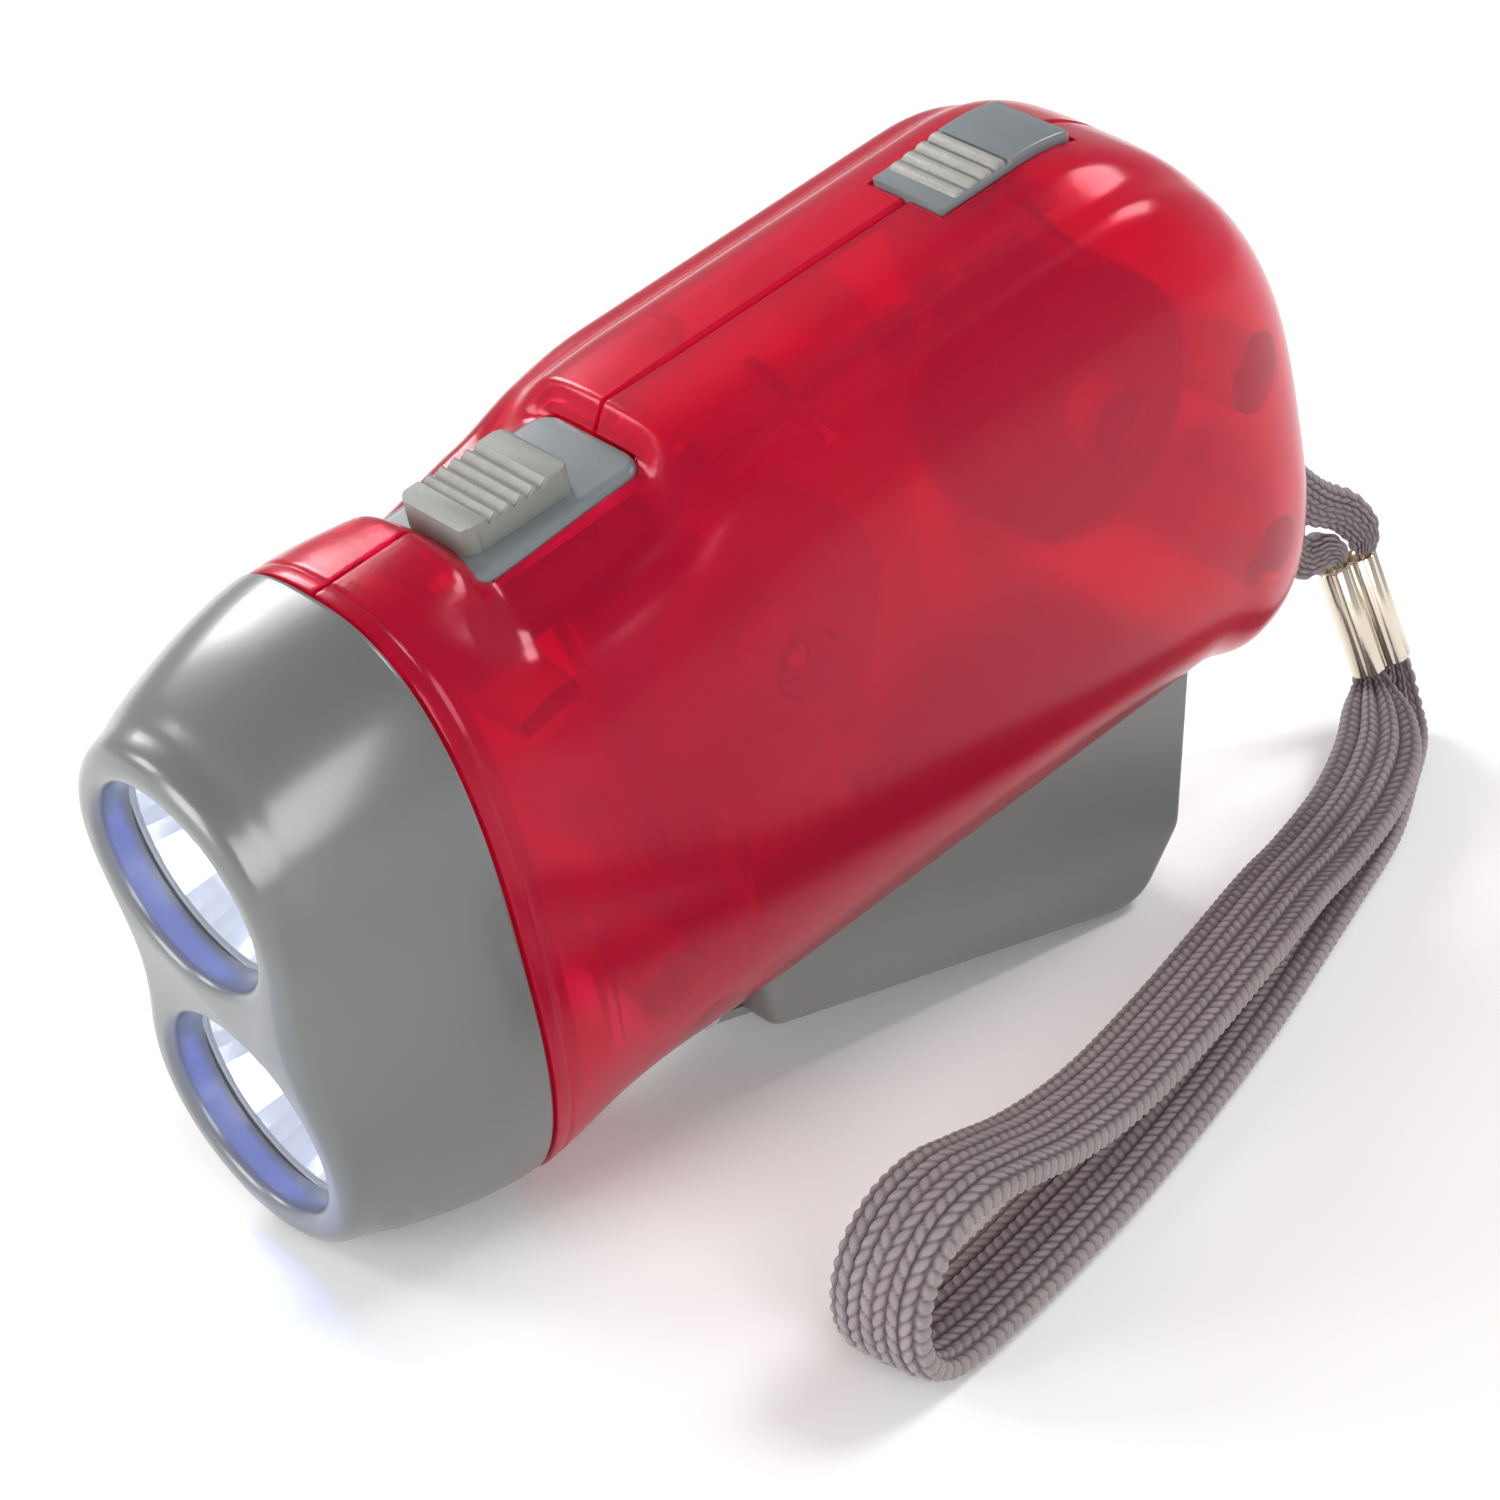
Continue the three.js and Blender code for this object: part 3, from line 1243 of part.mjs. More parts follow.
function flywheel() {
  const hole = flywheelAxleRadius + gap;
  const rim = flywheelRadius - flywheelRimWidth;
  const web = (flywheelHighY - flywheelLowY - flywheelWebThickness) / 2;
  const height = flywheelHighY - flywheelLowY;
  const profile = [
    [hole, 0], [flywheelHubRadius, 0], [flywheelHubRadius, web], [rim, web], [rim, 0], [flywheelRadius, 0],
    [flywheelRadius, height], [rim, height], [rim, height - web], [flywheelHubRadius, height - web],
    [flywheelHubRadius, height], [hole, height], [hole, 0],
  ];
  const geometry = new THREE.LatheGeometry(profile.map(([r, h]) => new THREE.Vector2(r, h)), roundSides);
  geometry.translate(flywheelX, flywheelLowY, flywheelZ);
  return geometry;
}

function magnet() {
  const body = barY(flywheelX, flywheelZ, magnetRadius, magnetLowY, magnetHighY, 2 * smallSides);
  const hole = flywheelAxleRadius + gap;
  const bore = barY(flywheelX, flywheelZ, hole, magnetLowY - overrun, magnetHighY + overrun, smallSides);
  return geometryOf(body.subtract(bore));
}

// Battery pieces

function cell(index) {
  const low = cellLowY + index * (cellThickness + gap);
  const geometry = new THREE.LatheGeometry([
    new THREE.Vector2(0, 0), new THREE.Vector2(cellRadius - cellEdge, 0), new THREE.Vector2(cellRadius, cellEdge),
    new THREE.Vector2(cellRadius, cellThickness), new THREE.Vector2(0, cellThickness),
  ], roundSides);
  geometry.translate(cellX, low, cellZ);
  return geometry;
}

function holder() {
  const reach = cellRadius + gap + holderWall;
  const cup = barY(cellX, cellZ, reach, holderRimLowY, holderHighY);
  const well = barY(cellX, cellZ, cellRadius + gap, holderRimLowY - overrun, holderLowY);
  return geometryOf(cup.subtract(well));
}

function batteryTab(y, lift) {
  const half = tabWidth / 2;
  return geometryOf(block(cellX - half, cellX + half, y, y + tabThickness, cellZ - tabDrop, cellZ + lift));
}

// Screws

const cross_arm_share = 0.6; // of the head's radius

function crossHead(body, x, z, headY, radius) {
  const deep = headY + crossSlotDepth;
  const wide = crossSlotWidth / 2;
  const arm = radius * cross_arm_share;
  return body
    .subtract(block(x - arm, x + arm, headY - overrun, deep, z - wide, z + wide))
    .subtract(block(x - wide, x + wide, headY - overrun, deep, z - arm, z + arm));
}

function housingScrew(x, z) {
  const seat = screwSeatY - gap;
  const headY = seat - screwHeadHeight;
  let body = barY(x, z, screwHeadRadius, headY, seat, screwSides);
  body = body.add(barY(x, z, screwRadius, seat - bond, screwGrip, smallSides));
  return geometryOf(crossHead(body, x, z, headY, screwHeadRadius));
}

// Small screw whose head sits on a face that looks along +Y
function smallScrew(x, z, faceY, tipY) {
  const seat = faceY + gap;
  const top = seat + smallScrewHeadHeight;
  let body = barY(x, z, smallScrewHeadRadius, seat, top, smallSides);
  body = body.add(barY(x, z, smallScrewRadius, tipY, seat + bond, pinSides));
  const wide = crossSlotWidth / 2;
  const arm = smallScrewHeadRadius * cross_arm_share;
  body = body.subtract(block(x - arm, x + arm, top - crossSlotDepth, top + overrun, z - wide, z + wide));
  return geometryOf(body);
}

// Lever spring: a helix round the hinge pin, one leg along the lever's floor and one on the shell's floor

function leverSpring() {
  const half = (springTurns * springPitch) / 2;
  const slope = THREE.MathUtils.degToRad(leverSlopeDegrees);
  const startAngle = Math.PI / 2 + slope;
  const endAngle = THREE.MathUtils.degToRad(springEndDegrees) - 2 * Math.PI * springTurns;
  const steps = Math.round(springTurns * springStepsPerTurn);
  const onCircle = (angle, y) => new THREE.Vector3(
    hingeX + springRadius * Math.cos(angle),
    y,
    hingeZ + springRadius * Math.sin(angle),
  );
  const along = (from, angle, length) => new THREE.Vector3(
    from.x + length * Math.cos(angle),
    from.y,
    from.z + length * Math.sin(angle),
  );
  const first = onCircle(startAngle, -half);
  const last = onCircle(endAngle, half);
  const backward = Math.PI + slope;
  const points = [along(first, backward, springRearLeg), along(first, backward, springRearLeg / 2)];
  for (let i = 0; i <= steps; i += 1) {
    points.push(onCircle(startAngle + ((endAngle - startAngle) * i) / steps, -half + (2 * half * i) / steps));
  }
  const forward = endAngle - Math.PI / 2;
  points.push(along(last, forward, springFrontLeg / 2), along(last, forward, springFrontLeg));
  return rope(points, springWireRadius, springWireRadius, 5, points.length * springStepsPerPoint);
}

// Tube of an oval section along a smooth route
function rope(points, halfAcross, halfThrough, sides, steps) {
  const shape = new THREE.Shape();
  for (let i = 0; i < sides; i += 1) {
    const angle = (2 * Math.PI * (i + 0.5)) / sides;
    const x = halfAcross * Math.cos(angle);
    const y = halfThrough * Math.sin(angle);
    if (i === 0) shape.moveTo(x, y);
    else shape.lineTo(x, y);
  }
  shape.closePath();
  const path = new THREE.CatmullRomCurve3(points, false, 'centripetal');
  return new THREE.ExtrudeGeometry(shape, { steps: Math.round(steps), bevelEnabled: false, extrudePath: path });
}

// Flat braid along a route, its width held level and square to the compass direction given
function ribbon(route, stepsPerPoint, sides) {
  const path = new THREE.CatmullRomCurve3(vectors(route), false, 'centripetal');
  const sizes = new THREE.CatmullRomCurve3(route.map(([, , , half, thin, compass]) => (
    new THREE.Vector3(half, thin, THREE.MathUtils.degToRad(compass))
  )));
  const steps = (route.length - 1) * stepsPerPoint;
  const rings = [];
  for (let i = 0; i <= steps; i += 1) {
    const t = i / steps;
    const centre = path.getPoint(t);
    const size = sizes.getPoint(t);
    const tangent = path.getTangent(t);
    const across = new THREE.Vector3(-Math.sin(size.z), Math.cos(size.z), 0);
    across.addScaledVector(tangent, -across.dot(tangent)).normalize();
    const side = new THREE.Vector3().crossVectors(tangent, across);
    const ring = [];
    for (let j = 0; j < sides; j += 1) {
      const angle = (2 * Math.PI * (j + 0.5)) / sides;
      const point = centre.clone();
      point.addScaledVector(across, size.x * Math.cos(angle));
      point.addScaledVector(side, size.y * Math.sin(angle));
      ring.push(point);
    }
    rings.push(ring);
  }
  return loft(rings, path.getPoint(0), path.getPoint(1));
}

function vectors(route) {
  return route.map(([x, y, z]) => new THREE.Vector3(x, y, z));
}

// Assembly

place('shell_left', shellHalf(1), red, 0.35, 0);
place('shell_right', shellHalf(-1), red, 0.35, 0);
place('head_bezel', headBezel(), headGrey, 0.5, 0);
for (const [name, z] of [['upper', ledHalfSpacing], ['lower', -ledHalfSpacing]]) {
  place(`lens_${name}`, lens(z), 0xf4f6fa, 0.08, 0);
  place(`reflector_${name}`, reflector(z), 0xe8ecf2, 0.12, 0.9);
  place(`led_${name}`, led(z), 0xf2f6ff, 0.1, 0);
}
place('led_board', ledBoard(), boardGreen, 0.6, 0);
place('switch_slider', switchSlider(), switchGrey, 0.5, 0);
place('switch_nub', switchNub(), 0x1c1c1e, 0.5, 0);
place('switch_case', switchCase(), steel, 0.35, 0.9);
place('main_board', mainBoard(), boardGreen, 0.6, 0);
place('lock_slider', lockSlider(), switchGrey, 0.5, 0);
place('lock_hook', lockHook(), whitePlastic, 0.5, 0);
place('lock_screw', lockScrew(), steel, 0.3, 1);
place('squeeze_lever', lever(), headGrey, 0.45, 0);
const pinGeometry = new THREE.CylinderGeometry(pinRadius, pinRadius, 2 * pinHalfLength, smallSides);
pinGeometry.translate(hingeX, 0, hingeZ);
place('lever_pin', pinGeometry, steel, 0.3, 1);
place('lever_spring', leverSpring(), steel, 0.3, 1);
place('first_gear', firstGear(), whitePlastic, 0.5, 0);
place('second_gear', secondGear(), whitePlastic, 0.5, 0);
place('flywheel_pinion', flywheelPinion(), brass, 0.35, 0.9);
place('first_axle', geometryOf(barY(axleOneX, axleOneZ, axleRadius, axleLowY, midPlateHighY, axleSides)), steel, 0.3, 1);
place('second_axle', geometryOf(barY(axleTwoX, axleTwoZ, axleRadius, axleLowY, midPlateHighY, axleSides)), steel, 0.3, 1);
place('gear_plate', midPlate(), whitePlastic, 0.5, 0);
const axle = barY(flywheelX, flywheelZ, flywheelAxleRadius, flywheelAxleLowY, flywheelAxleHighY, axleSides);
place('flywheel_axle', geometryOf(axle), steel, 0.3, 1);
place('flywheel', flywheel(), 0x8d9094, 0.4, 0.9);
place('magnet_rotor', magnet(), 0x3a3a3c, 0.6, 0.3);
place('generator_core', core(), 0x6f7276, 0.5, 0.8);
place('coil_bobbin', bobbin(), whitePlastic, 0.5, 0);
place('coil_winding', winding(), 0xb0582a, 0.4, 0.7);
place('battery_cell_1', cell(0), steel, 0.3, 1);
place('battery_cell_2', cell(1), steel, 0.3, 1);
place('battery_holder', holder(), 0x222225, 0.5, 0);
place('battery_tab_front', batteryTab(cellLowY - gap - tabThickness, tabLift), steel, 0.3, 1);
place('battery_tab_rear', batteryTab(cellStackHighY + gap, tabDrop), steel, 0.3, 1);
bossX.forEach((x, i) => place(`housing_screw_${i + 1}`, housingScrew(x, bossZ[i]), steel, 0.3, 1));
postX.forEach((x, i) => {
  const tip = midPlateLowY - smallScrewReach + gap;
  place(`plate_screw_${i + 1}`, smallScrew(x, postZ[i], midPlateHighY, tip), steel, 0.3, 1);
});
coreScrewX.forEach((x, i) => {
  place(`core_screw_${i + 1}`, smallScrew(x, coreScrewZ, coreHighY, midPlateLowY), steel, 0.3, 1);
});
for (const [name, route] of Object.entries(wireRoutes)) {
  place(name, rope(vectors(route), wireRadius, wireRadius, wireSides, wireSteps), 0x8c1d1d, 0.6, 0);
}
place('strap_eye', rope(vectors(eyeRoute), strapEyeHalfWidth, strapEyeHalfThickness, strapSides, strapEyeSteps), strapGrey, 0.9, 0);

// Tip the torch nose down until the head and the lever's heel share one level, then set it on the table

function lowestPoint(mesh, pitch) {
  const position = mesh.geometry.attributes.position;
  let best = null;
  for (let i = 0; i < position.count; i += 1) {
    const x = position.getX(i);
    const z = position.getZ(i);
    const height = z * Math.cos(pitch) - x * Math.sin(pitch);
    if (best === null || height < best.height) best = { x, z, height };
  }
  return best;
}

const bezelMesh = torch.getObjectByName('head_bezel');
const leverMesh = torch.getObjectByName('squeeze_lever');
let pitch = 0;
for (let step = 0; step < restSteps; step += 1) {
  const nose = lowestPoint(bezelMesh, pitch);
  const heel = lowestPoint(leverMesh, pitch);
  pitch = Math.atan2(nose.z - heel.z, nose.x - heel.x);
}
torch.rotation.y = pitch;
torch.position.z = -lowestPoint(leverMesh, pitch).height;

// Strap pieces that lie on the table

const strap = new THREE.Group();
root.add(strap);
place('strap_loop', ribbon(loopRoute, loopStepsPerPoint, strapSides), strapGrey, 0.9, 0, strap);

function ferrule() {
  const top = new THREE.Vector3(...ferruleTop);
  const bottom = new THREE.Vector3(...ferruleBottom);
  const axis = new THREE.Vector3().subVectors(top, bottom);
  const turn = new THREE.Quaternion().setFromUnitVectors(new THREE.Vector3(0, 1, 0), axis.clone().normalize());
  let body = null;
  for (const side of [-1, 1]) {
    const tube = new THREE.CylinderGeometry(ferruleRadius, ferruleRadius, axis.length(), smallSides);
    tube.applyQuaternion(turn);
    const centre = new THREE.Vector3().addVectors(top, bottom).divideScalar(2);
    centre.addScaledVector(new THREE.Vector3(...ferruleSpread), (side * ferruleSpacing) / 2);
    tube.translate(...centre.toArray());
    body = body ? body.add(solid(tube)) : solid(tube);
  }
  return geometryOf(body);
}

place('strap_ferrule', ferrule(), 0xc8c2b4, 0.25, 1, strap);

// Centre the torch, without its strap, over the origin

root.updateMatrixWorld(true);
const reach = new THREE.Box3();
torch.traverse((child) => {
  if (child.isMesh && child.name !== 'strap_eye') reach.expandByObject(child, true);
});
root.position.set(-(reach.min.x + reach.max.x) / 2, -(reach.min.y + reach.max.y) / 2, 0);
root.updateMatrixWorld(true);

export default root;
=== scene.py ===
import json
import math

import bmesh
import bpy
import numpy as np
from mathutils import Matrix, Vector


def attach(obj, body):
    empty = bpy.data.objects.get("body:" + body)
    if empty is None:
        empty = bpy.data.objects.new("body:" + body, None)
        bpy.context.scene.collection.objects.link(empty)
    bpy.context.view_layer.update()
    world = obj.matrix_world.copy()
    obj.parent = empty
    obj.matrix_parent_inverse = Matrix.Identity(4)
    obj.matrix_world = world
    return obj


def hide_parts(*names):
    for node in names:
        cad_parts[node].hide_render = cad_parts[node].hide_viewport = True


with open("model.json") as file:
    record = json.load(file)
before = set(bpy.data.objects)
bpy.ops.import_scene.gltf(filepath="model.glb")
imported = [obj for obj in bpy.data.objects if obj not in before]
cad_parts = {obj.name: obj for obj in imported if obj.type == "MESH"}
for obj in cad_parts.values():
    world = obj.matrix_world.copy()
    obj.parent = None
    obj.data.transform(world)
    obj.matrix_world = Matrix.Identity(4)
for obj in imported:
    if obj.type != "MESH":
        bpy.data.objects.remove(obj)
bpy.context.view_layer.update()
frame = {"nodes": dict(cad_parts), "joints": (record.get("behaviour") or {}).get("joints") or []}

# Camera, long lens from above the torch's left front, and a white table under a pale sky that darkens upwards.
# Five soft boxes stand round it: behind, above the tail, in front, low before the head and beside the head.
def placed(name, data):
    """New object in the scene."""
    made = bpy.data.objects.new(name, data)
    bpy.context.scene.collection.objects.link(made)
    return made


def fill(node, **values):
    """Values set on a node's inputs, each named with _ for a blank."""
    for socket, value in values.items():
        node.inputs[socket.replace("_", " ")].default_value = value


def join(tree, *links):
    """Links in a node tree, each given as a node, its output, a node and its input."""
    for source, output, target, socket in links:
        tree.links.new(source.outputs[output], target.inputs[socket])


camera_data = bpy.data.cameras.new("camera")
camera_data.sensor_width = 36
camera_data.lens = 124.4
camera = placed("camera", camera_data)
camera_back = Vector((0.563, 0.649, 0.511)).normalized()
camera_right = Vector((-0.750, 0.662, -0.014))
camera_right = (camera_right - camera_right.dot(camera_back) * camera_back).normalized()
camera_turn = Matrix((camera_right, camera_back.cross(camera_right), camera_back)).transposed()
camera.matrix_world = Matrix.Translation((0.2309, 0.2682, 0.2353)) @ camera_turn.to_4x4()
camera_data.clip_start, camera_data.clip_end = 0.01, 20
bpy.context.scene.camera = camera
bpy.context.scene.view_settings.view_transform = "Standard"

world = bpy.data.worlds.new("studio")
world.use_nodes = True
sky_tree = world.node_tree
sky = sky_tree.nodes["Background"]
sky_place = sky_tree.nodes.new("ShaderNodeTexCoord")
sky_height = sky_tree.nodes.new("ShaderNodeSeparateXYZ")
sky_fall = sky_tree.nodes.new("ShaderNodeMapRange")
fill(sky, Color=(1, 1, 1, 1))
fill(sky_fall, From_Min=0.0, From_Max=1.0, To_Min=0.62, To_Max=0.22)
join(sky_tree, (sky_place, "Generated", sky_height, 0), (sky_height, "Z", sky_fall, "Value"),
     (sky_fall, "Result", sky, "Strength"))
bpy.context.scene.world = world


def soft_box(name, place, aim, size, watts, colour=(1, 1, 1)):
    """Square area light at place that faces aim."""
    data = bpy.data.lights.new(name, "AREA")
    data.size, data.energy, data.color = size, watts, colour
    light = placed(name, data)
    light.location = place
    light.rotation_euler = (Vector(aim) - Vector(place)).to_track_quat("-Z", "Y").to_euler()
    return light


torch_middle = (0, 0, 0.03)
for name, place, size, watts in (
    ("soft_box_back", (-0.10, -0.84, 0.60), 0.34, 5.2),
    ("soft_box_top", (-0.62, 0.10, 0.80), 0.34, 4.4),
    ("soft_box_front", (0.40, 0.95, 0.45), 0.60, 7.5),
    ("soft_box_low", (1.00, -0.20, 0.25), 0.50, 6.5),
    ("soft_box_nose", (0.62, -0.68, 0.50), 0.32, 3.0),
):
    soft_box(name, place, torch_middle, size, watts)

table_half = 4
table_corners = [(x * table_half, y * table_half, 0) for x, y in ((-1, -1), (1, -1), (1, 1), (-1, 1))]
floor_mesh = bpy.data.meshes.new("floor")
floor_mesh.from_pydata(table_corners, [], [(0, 1, 2, 3)])
floor = placed("floor", floor_mesh)
floor_material = bpy.data.materials.new("floor")
floor_material.use_nodes = True
fill(floor_material.node_tree.nodes["Principled BSDF"], Base_Color=(0.93, 0.93, 0.93, 1), Roughness=0.6)
floor_mesh.materials.append(floor_material)

# Shell: two halves moulded in clear red plastic, a little frosted, that meet along the torch's middle and are held
# by three screws. Each is a 1.8 mm skin with the bosses, bearings, posts and ribs that carry the parts inside.
shell_front, shell_rear = -17.9, -106.8
shell_crest, shell_chin, shell_belly, shell_heel = 27.3, -27.7, -26.0, -28.0
shell_half_width, shell_front_half_width, shell_wall = 17.5, 15.9, 1.8
crest_arc, heel_arc = 20.8, 9.8
seam = 0.15

# It is drawn level, in millimetres, beam along +X and height along Z. It stands nose down on its head and on the
# heel of its open lever: the switch's slide gives the tip and the lever's hinge gives the place.
joints = {joint["name"]: joint for joint in frame["joints"]}
slide_axis = np.array(joints["switch_slide"]["axis"])
hinge_row = np.array(joints["lever_hinge"]["pos_m"])
tip_angle = math.atan2(slide_axis[2], -slide_axis[0])
hinge_x, hinge_z = -35.5, -21.0


def seat(points):
    """Level millimetres to metres on the table: turned nose down about the lever's hinge, then moved to it."""
    p = np.asarray(points, float)
    x, z = p[..., 0] - hinge_x, p[..., 2] - hinge_z
    c, s = math.cos(tip_angle), math.sin(tip_angle)
    return np.stack([x * c + z * s, p[..., 1], z * c - x * s], axis=-1) / 1000 + hinge_row


def unit(vectors):
    """Each vector of an array at length one."""
    return vectors / np.linalg.norm(vectors, axis=-1, keepdims=True)


def smooth(share):
    """Share eased at both ends: 0 up to 0, 1 from 1 on, and level where it meets them."""
    s = np.clip(share, 0, 1)
    return s * s * (3 - 2 * s)


def arc(start, end, share, power):
    """From start, at share 0, to end, at share 1, along a quarter of a superellipse."""
    return end + (start - end) * (1 - np.clip(share, 0, 1) ** power) ** (1 / power)


def crest_at(x, inset):
    """Height of the top line: level, then a superellipse arch that ends 5 mm below the beam at the tail."""
    arch, level = shell_rear + crest_arc, shell_crest - inset
    return np.where(x > arch, level, arc(level, -5.0, (arch - x) / (crest_arc - inset), 2.2))


def crest_height(x):
    """Height of the outer top line at one place."""
    return float(crest_at(np.array(x), 0.0))


def bottom_at(x, inset):
    """Height of the bottom line: from the chin up to the belly, down to the heel, then a superellipse arch."""
    arch = shell_rear + heel_arc
    chin = shell_chin + (shell_belly - shell_chin) * smooth((shell_front - x) / 15)
    belly = chin + (shell_heel - shell_belly) * smooth((arch + 6 - x) / 6)
    return np.where(x > arch, belly + inset, arc(shell_heel + inset, -12.0, (arch - x) / (heel_arc - inset), 2.3))


def half_width_at(x, inset):
    """Half the width: it grows over the first 27 mm and closes on a superellipse arch at the tail."""
    swell = (shell_half_width - shell_front_half_width) * smooth((shell_front - x) / 27)
    side = shell_front_half_width + swell - inset
    arch = shell_rear + crest_arc
    return np.where(x > arch, side, arc(side, 0.0, (arch - x) / (crest_arc - inset), 3.0))


def saddle_at(x, y):
    """How far the top sinks for the switch: 2.3 mm between two smooth slopes, which are short along the middle
    and grow longer beyond 5 mm to either side; it fades out from 8.5 to 15.5 mm."""
    out = np.abs(y) - 5
    ease_front, ease_rear = 5 * smooth(out / 8), 4 * smooth(out / 6)
    front = smooth((-26.6 + ease_front - x) / (2.9 + ease_front))
    rear = smooth((x + 46.4) / (2.1 + ease_rear))
    return 2.3 * np.minimum(front, rear) * (1 - smooth((np.abs(y) - 8.5) / 7))


def skin(stations, angles, inset):
    """Points of the skin: superellipse sections across the torch, whose power is 2.7 at the head and goes to 3.4
    above and 2.5 below, with a 1 mm valley at 0.57 of the half-width along each shoulder and the saddle sunk in the
    top. Rows are stations, columns are angles from the top."""
    x, s, c = stations[:, None], np.sin(angles), np.cos(angles)
    top, bottom, half = crest_at(x, inset), bottom_at(x, inset), half_width_at(x, inset)
    middle, height = (top + bottom) / 2, (top - bottom) / 2
    nose_drop = 0.4 * smooth((-21.4 - x) / 7) * (1 - smooth((-30 - x) / 14))
    upper = 2.7 + 0.7 * smooth((-41 - x) / 13) - nose_drop
    lower = 2.7 - 0.2 * smooth((shell_front - x) / 9)
    power = np.where(c > 0, upper, lower)
    y = half * np.sign(s) * np.abs(s) ** (2 / power)
    z = middle + height * np.sign(c) * np.abs(c) ** (2 / power)
    fade = smooth((shell_front - x) / 15) * smooth((x - shell_rear) / crest_arc)
    off = (np.abs(y) / np.maximum(half, 0.01) - 0.57) / 0.11
    sunk = fade * np.exp(-off**2) + saddle_at(x, y)
    z = np.where(c > 0, z - sunk, z)
    return np.stack([np.broadcast_to(x, y.shape), y, z], axis=-1)


def grid_faces(rows, columns, closed):
    """Quads between neighbouring rows and columns of a grid; closed joins the last column to the first."""
    i = np.arange(rows - 1)[:, None] * columns
    j = np.arange(columns if closed else columns - 1)[None, :]
    k = (j + 1) % columns
    return np.stack([i + j, i + k, i + columns + k, i + columns + j], axis=-1).reshape(-1, 4).tolist()


def tube_of(rings):
    """Closed solid from rings of points: sides between the rings and a flat face on each end."""
    rows, columns = rings.shape[:2]
    faces = grid_faces(rows, columns, True)
    faces.append(list(range(columns))[::-1])
    faces.append([(rows - 1) * columns + j for j in range(columns)])
    return rings.reshape(-1, 3), faces


def prism(outline, low, high, axis="y", edge=0.0, steps=4):
    """Outline of points drawn out along an axis, Y for outlines in x and z or Z for outlines in x and y, with its
    rim rounded to the radius edge: rings draw in along the outline's own inward normals on a quarter circle."""
    p = np.asarray(outline, float)
    ahead, behind = unit(np.roll(p, -1, 0) - p), unit(p - np.roll(p, 1, 0))
    area = np.sum(p[:, 0] * np.roll(p[:, 1], -1) - p[:, 1] * np.roll(p[:, 0], -1))
    turn = 1 if area > 0 else -1
    inward = turn * np.stack([-(ahead + behind)[:, 1], (ahead + behind)[:, 0]], axis=1)
    size = np.linalg.norm(inward, axis=1)[:, None]
    inward = inward / size * np.minimum(2.0 / size, 2.2)
    t = np.linspace(0, np.pi / 2, steps) if edge else np.zeros(1)
    draw, rise = edge * (1 - np.sin(t)), edge * (1 - np.cos(t))
    levels = [(low + r, d) for r, d in zip(rise, draw)]
    levels += [(high - r, d) for r, d in zip(rise[::-1], draw[::-1])]
    rings = []
    for level, inset in levels:
        q = p + inward * inset
        flat = np.full(len(q), level)
        rings.append(np.stack([q[:, 0], flat, q[:, 1]] if axis == "y" else [q[:, 0], q[:, 1], flat], axis=1))
    return tube_of(np.array(rings))


def box(x0, x1, y0, y1, z0, z1):
    """Block between two corners."""
    return prism([(x0, z0), (x1, z0), (x1, z1), (x0, z1)], min(y0, y1), max(y0, y1))


def turned(profile, centre, axis, sides=48):
    """Profile of (place along the axis, radius) carried once round an axis along X, Y or Z through centre."""
    angle = 2 * np.pi * np.arange(sides) / sides
    places, radii = np.array(profile, float).T[:, :, None]
    along = places + np.zeros(sides)
    one, two = radii * np.cos(angle), radii * np.sin(angle)
    order = {"x": [along, one, two], "y": [two, along, one], "z": [one, two, along]}[axis]
    return tube_of(np.stack(order, axis=-1) + np.asarray(centre, float))


def pin(x, z, radius, y0, y1, sides=48):
    """Round bar along Y."""
    return turned([(min(y0, y1), radius), (max(y0, y1), radius)], (x, 0, z), "y", sides)


def together(parts):
    """Several solids as one list of points and faces."""
    points, faces, count = [], [], 0
    for p, f in parts:
        points.append(np.asarray(p))
        faces += [[k + count for k in face] for face in f]
        count += len(p)
    return np.vstack(points), faces


def closed_mesh(name, part):
    """Mesh of a solid, or of a list of solids, with its doubles merged and all its faces turned outwards. A mesh
    comes back as it is."""
    if isinstance(part, bpy.types.Mesh):
        return part
    points, faces = together(part) if isinstance(part, list) else part
    mesh = bpy.data.meshes.new(name)
    mesh.from_pydata(np.asarray(points).tolist(), [], faces)
    work = bmesh.new()
    work.from_mesh(mesh)
    bmesh.ops.remove_doubles(work, verts=work.verts, dist=1e-4)
    bmesh.ops.dissolve_degenerate(work, edges=work.edges, dist=1e-5)
    bmesh.ops.recalc_face_normals(work, faces=work.faces)
    work.to_mesh(mesh)
    work.free()
    return mesh


def carved(base, *tools):
    """base with each tool in turn joined on, cut away or kept in common. A tool is an operation, UNION, DIFFERENCE
    or INTERSECT, and a solid, a list of solids or a mesh."""
    made = placed("carving", closed_mesh("carving", base))
    helpers = []
    for operation, solids in tools:
        helpers.append(placed("tool", closed_mesh("tool", solids)))
        change = made.modifiers.new(operation, "BOOLEAN")
        change.operation, change.solver, change.object = operation, "EXACT", helpers[-1]
    bpy.context.view_layer.update()
    evaluated = made.evaluated_get(bpy.context.evaluated_depsgraph_get())
    mesh = bpy.data.meshes.new_from_object(evaluated)
    for one in [made, *helpers]:
        bpy.data.objects.remove(one)
    return mesh


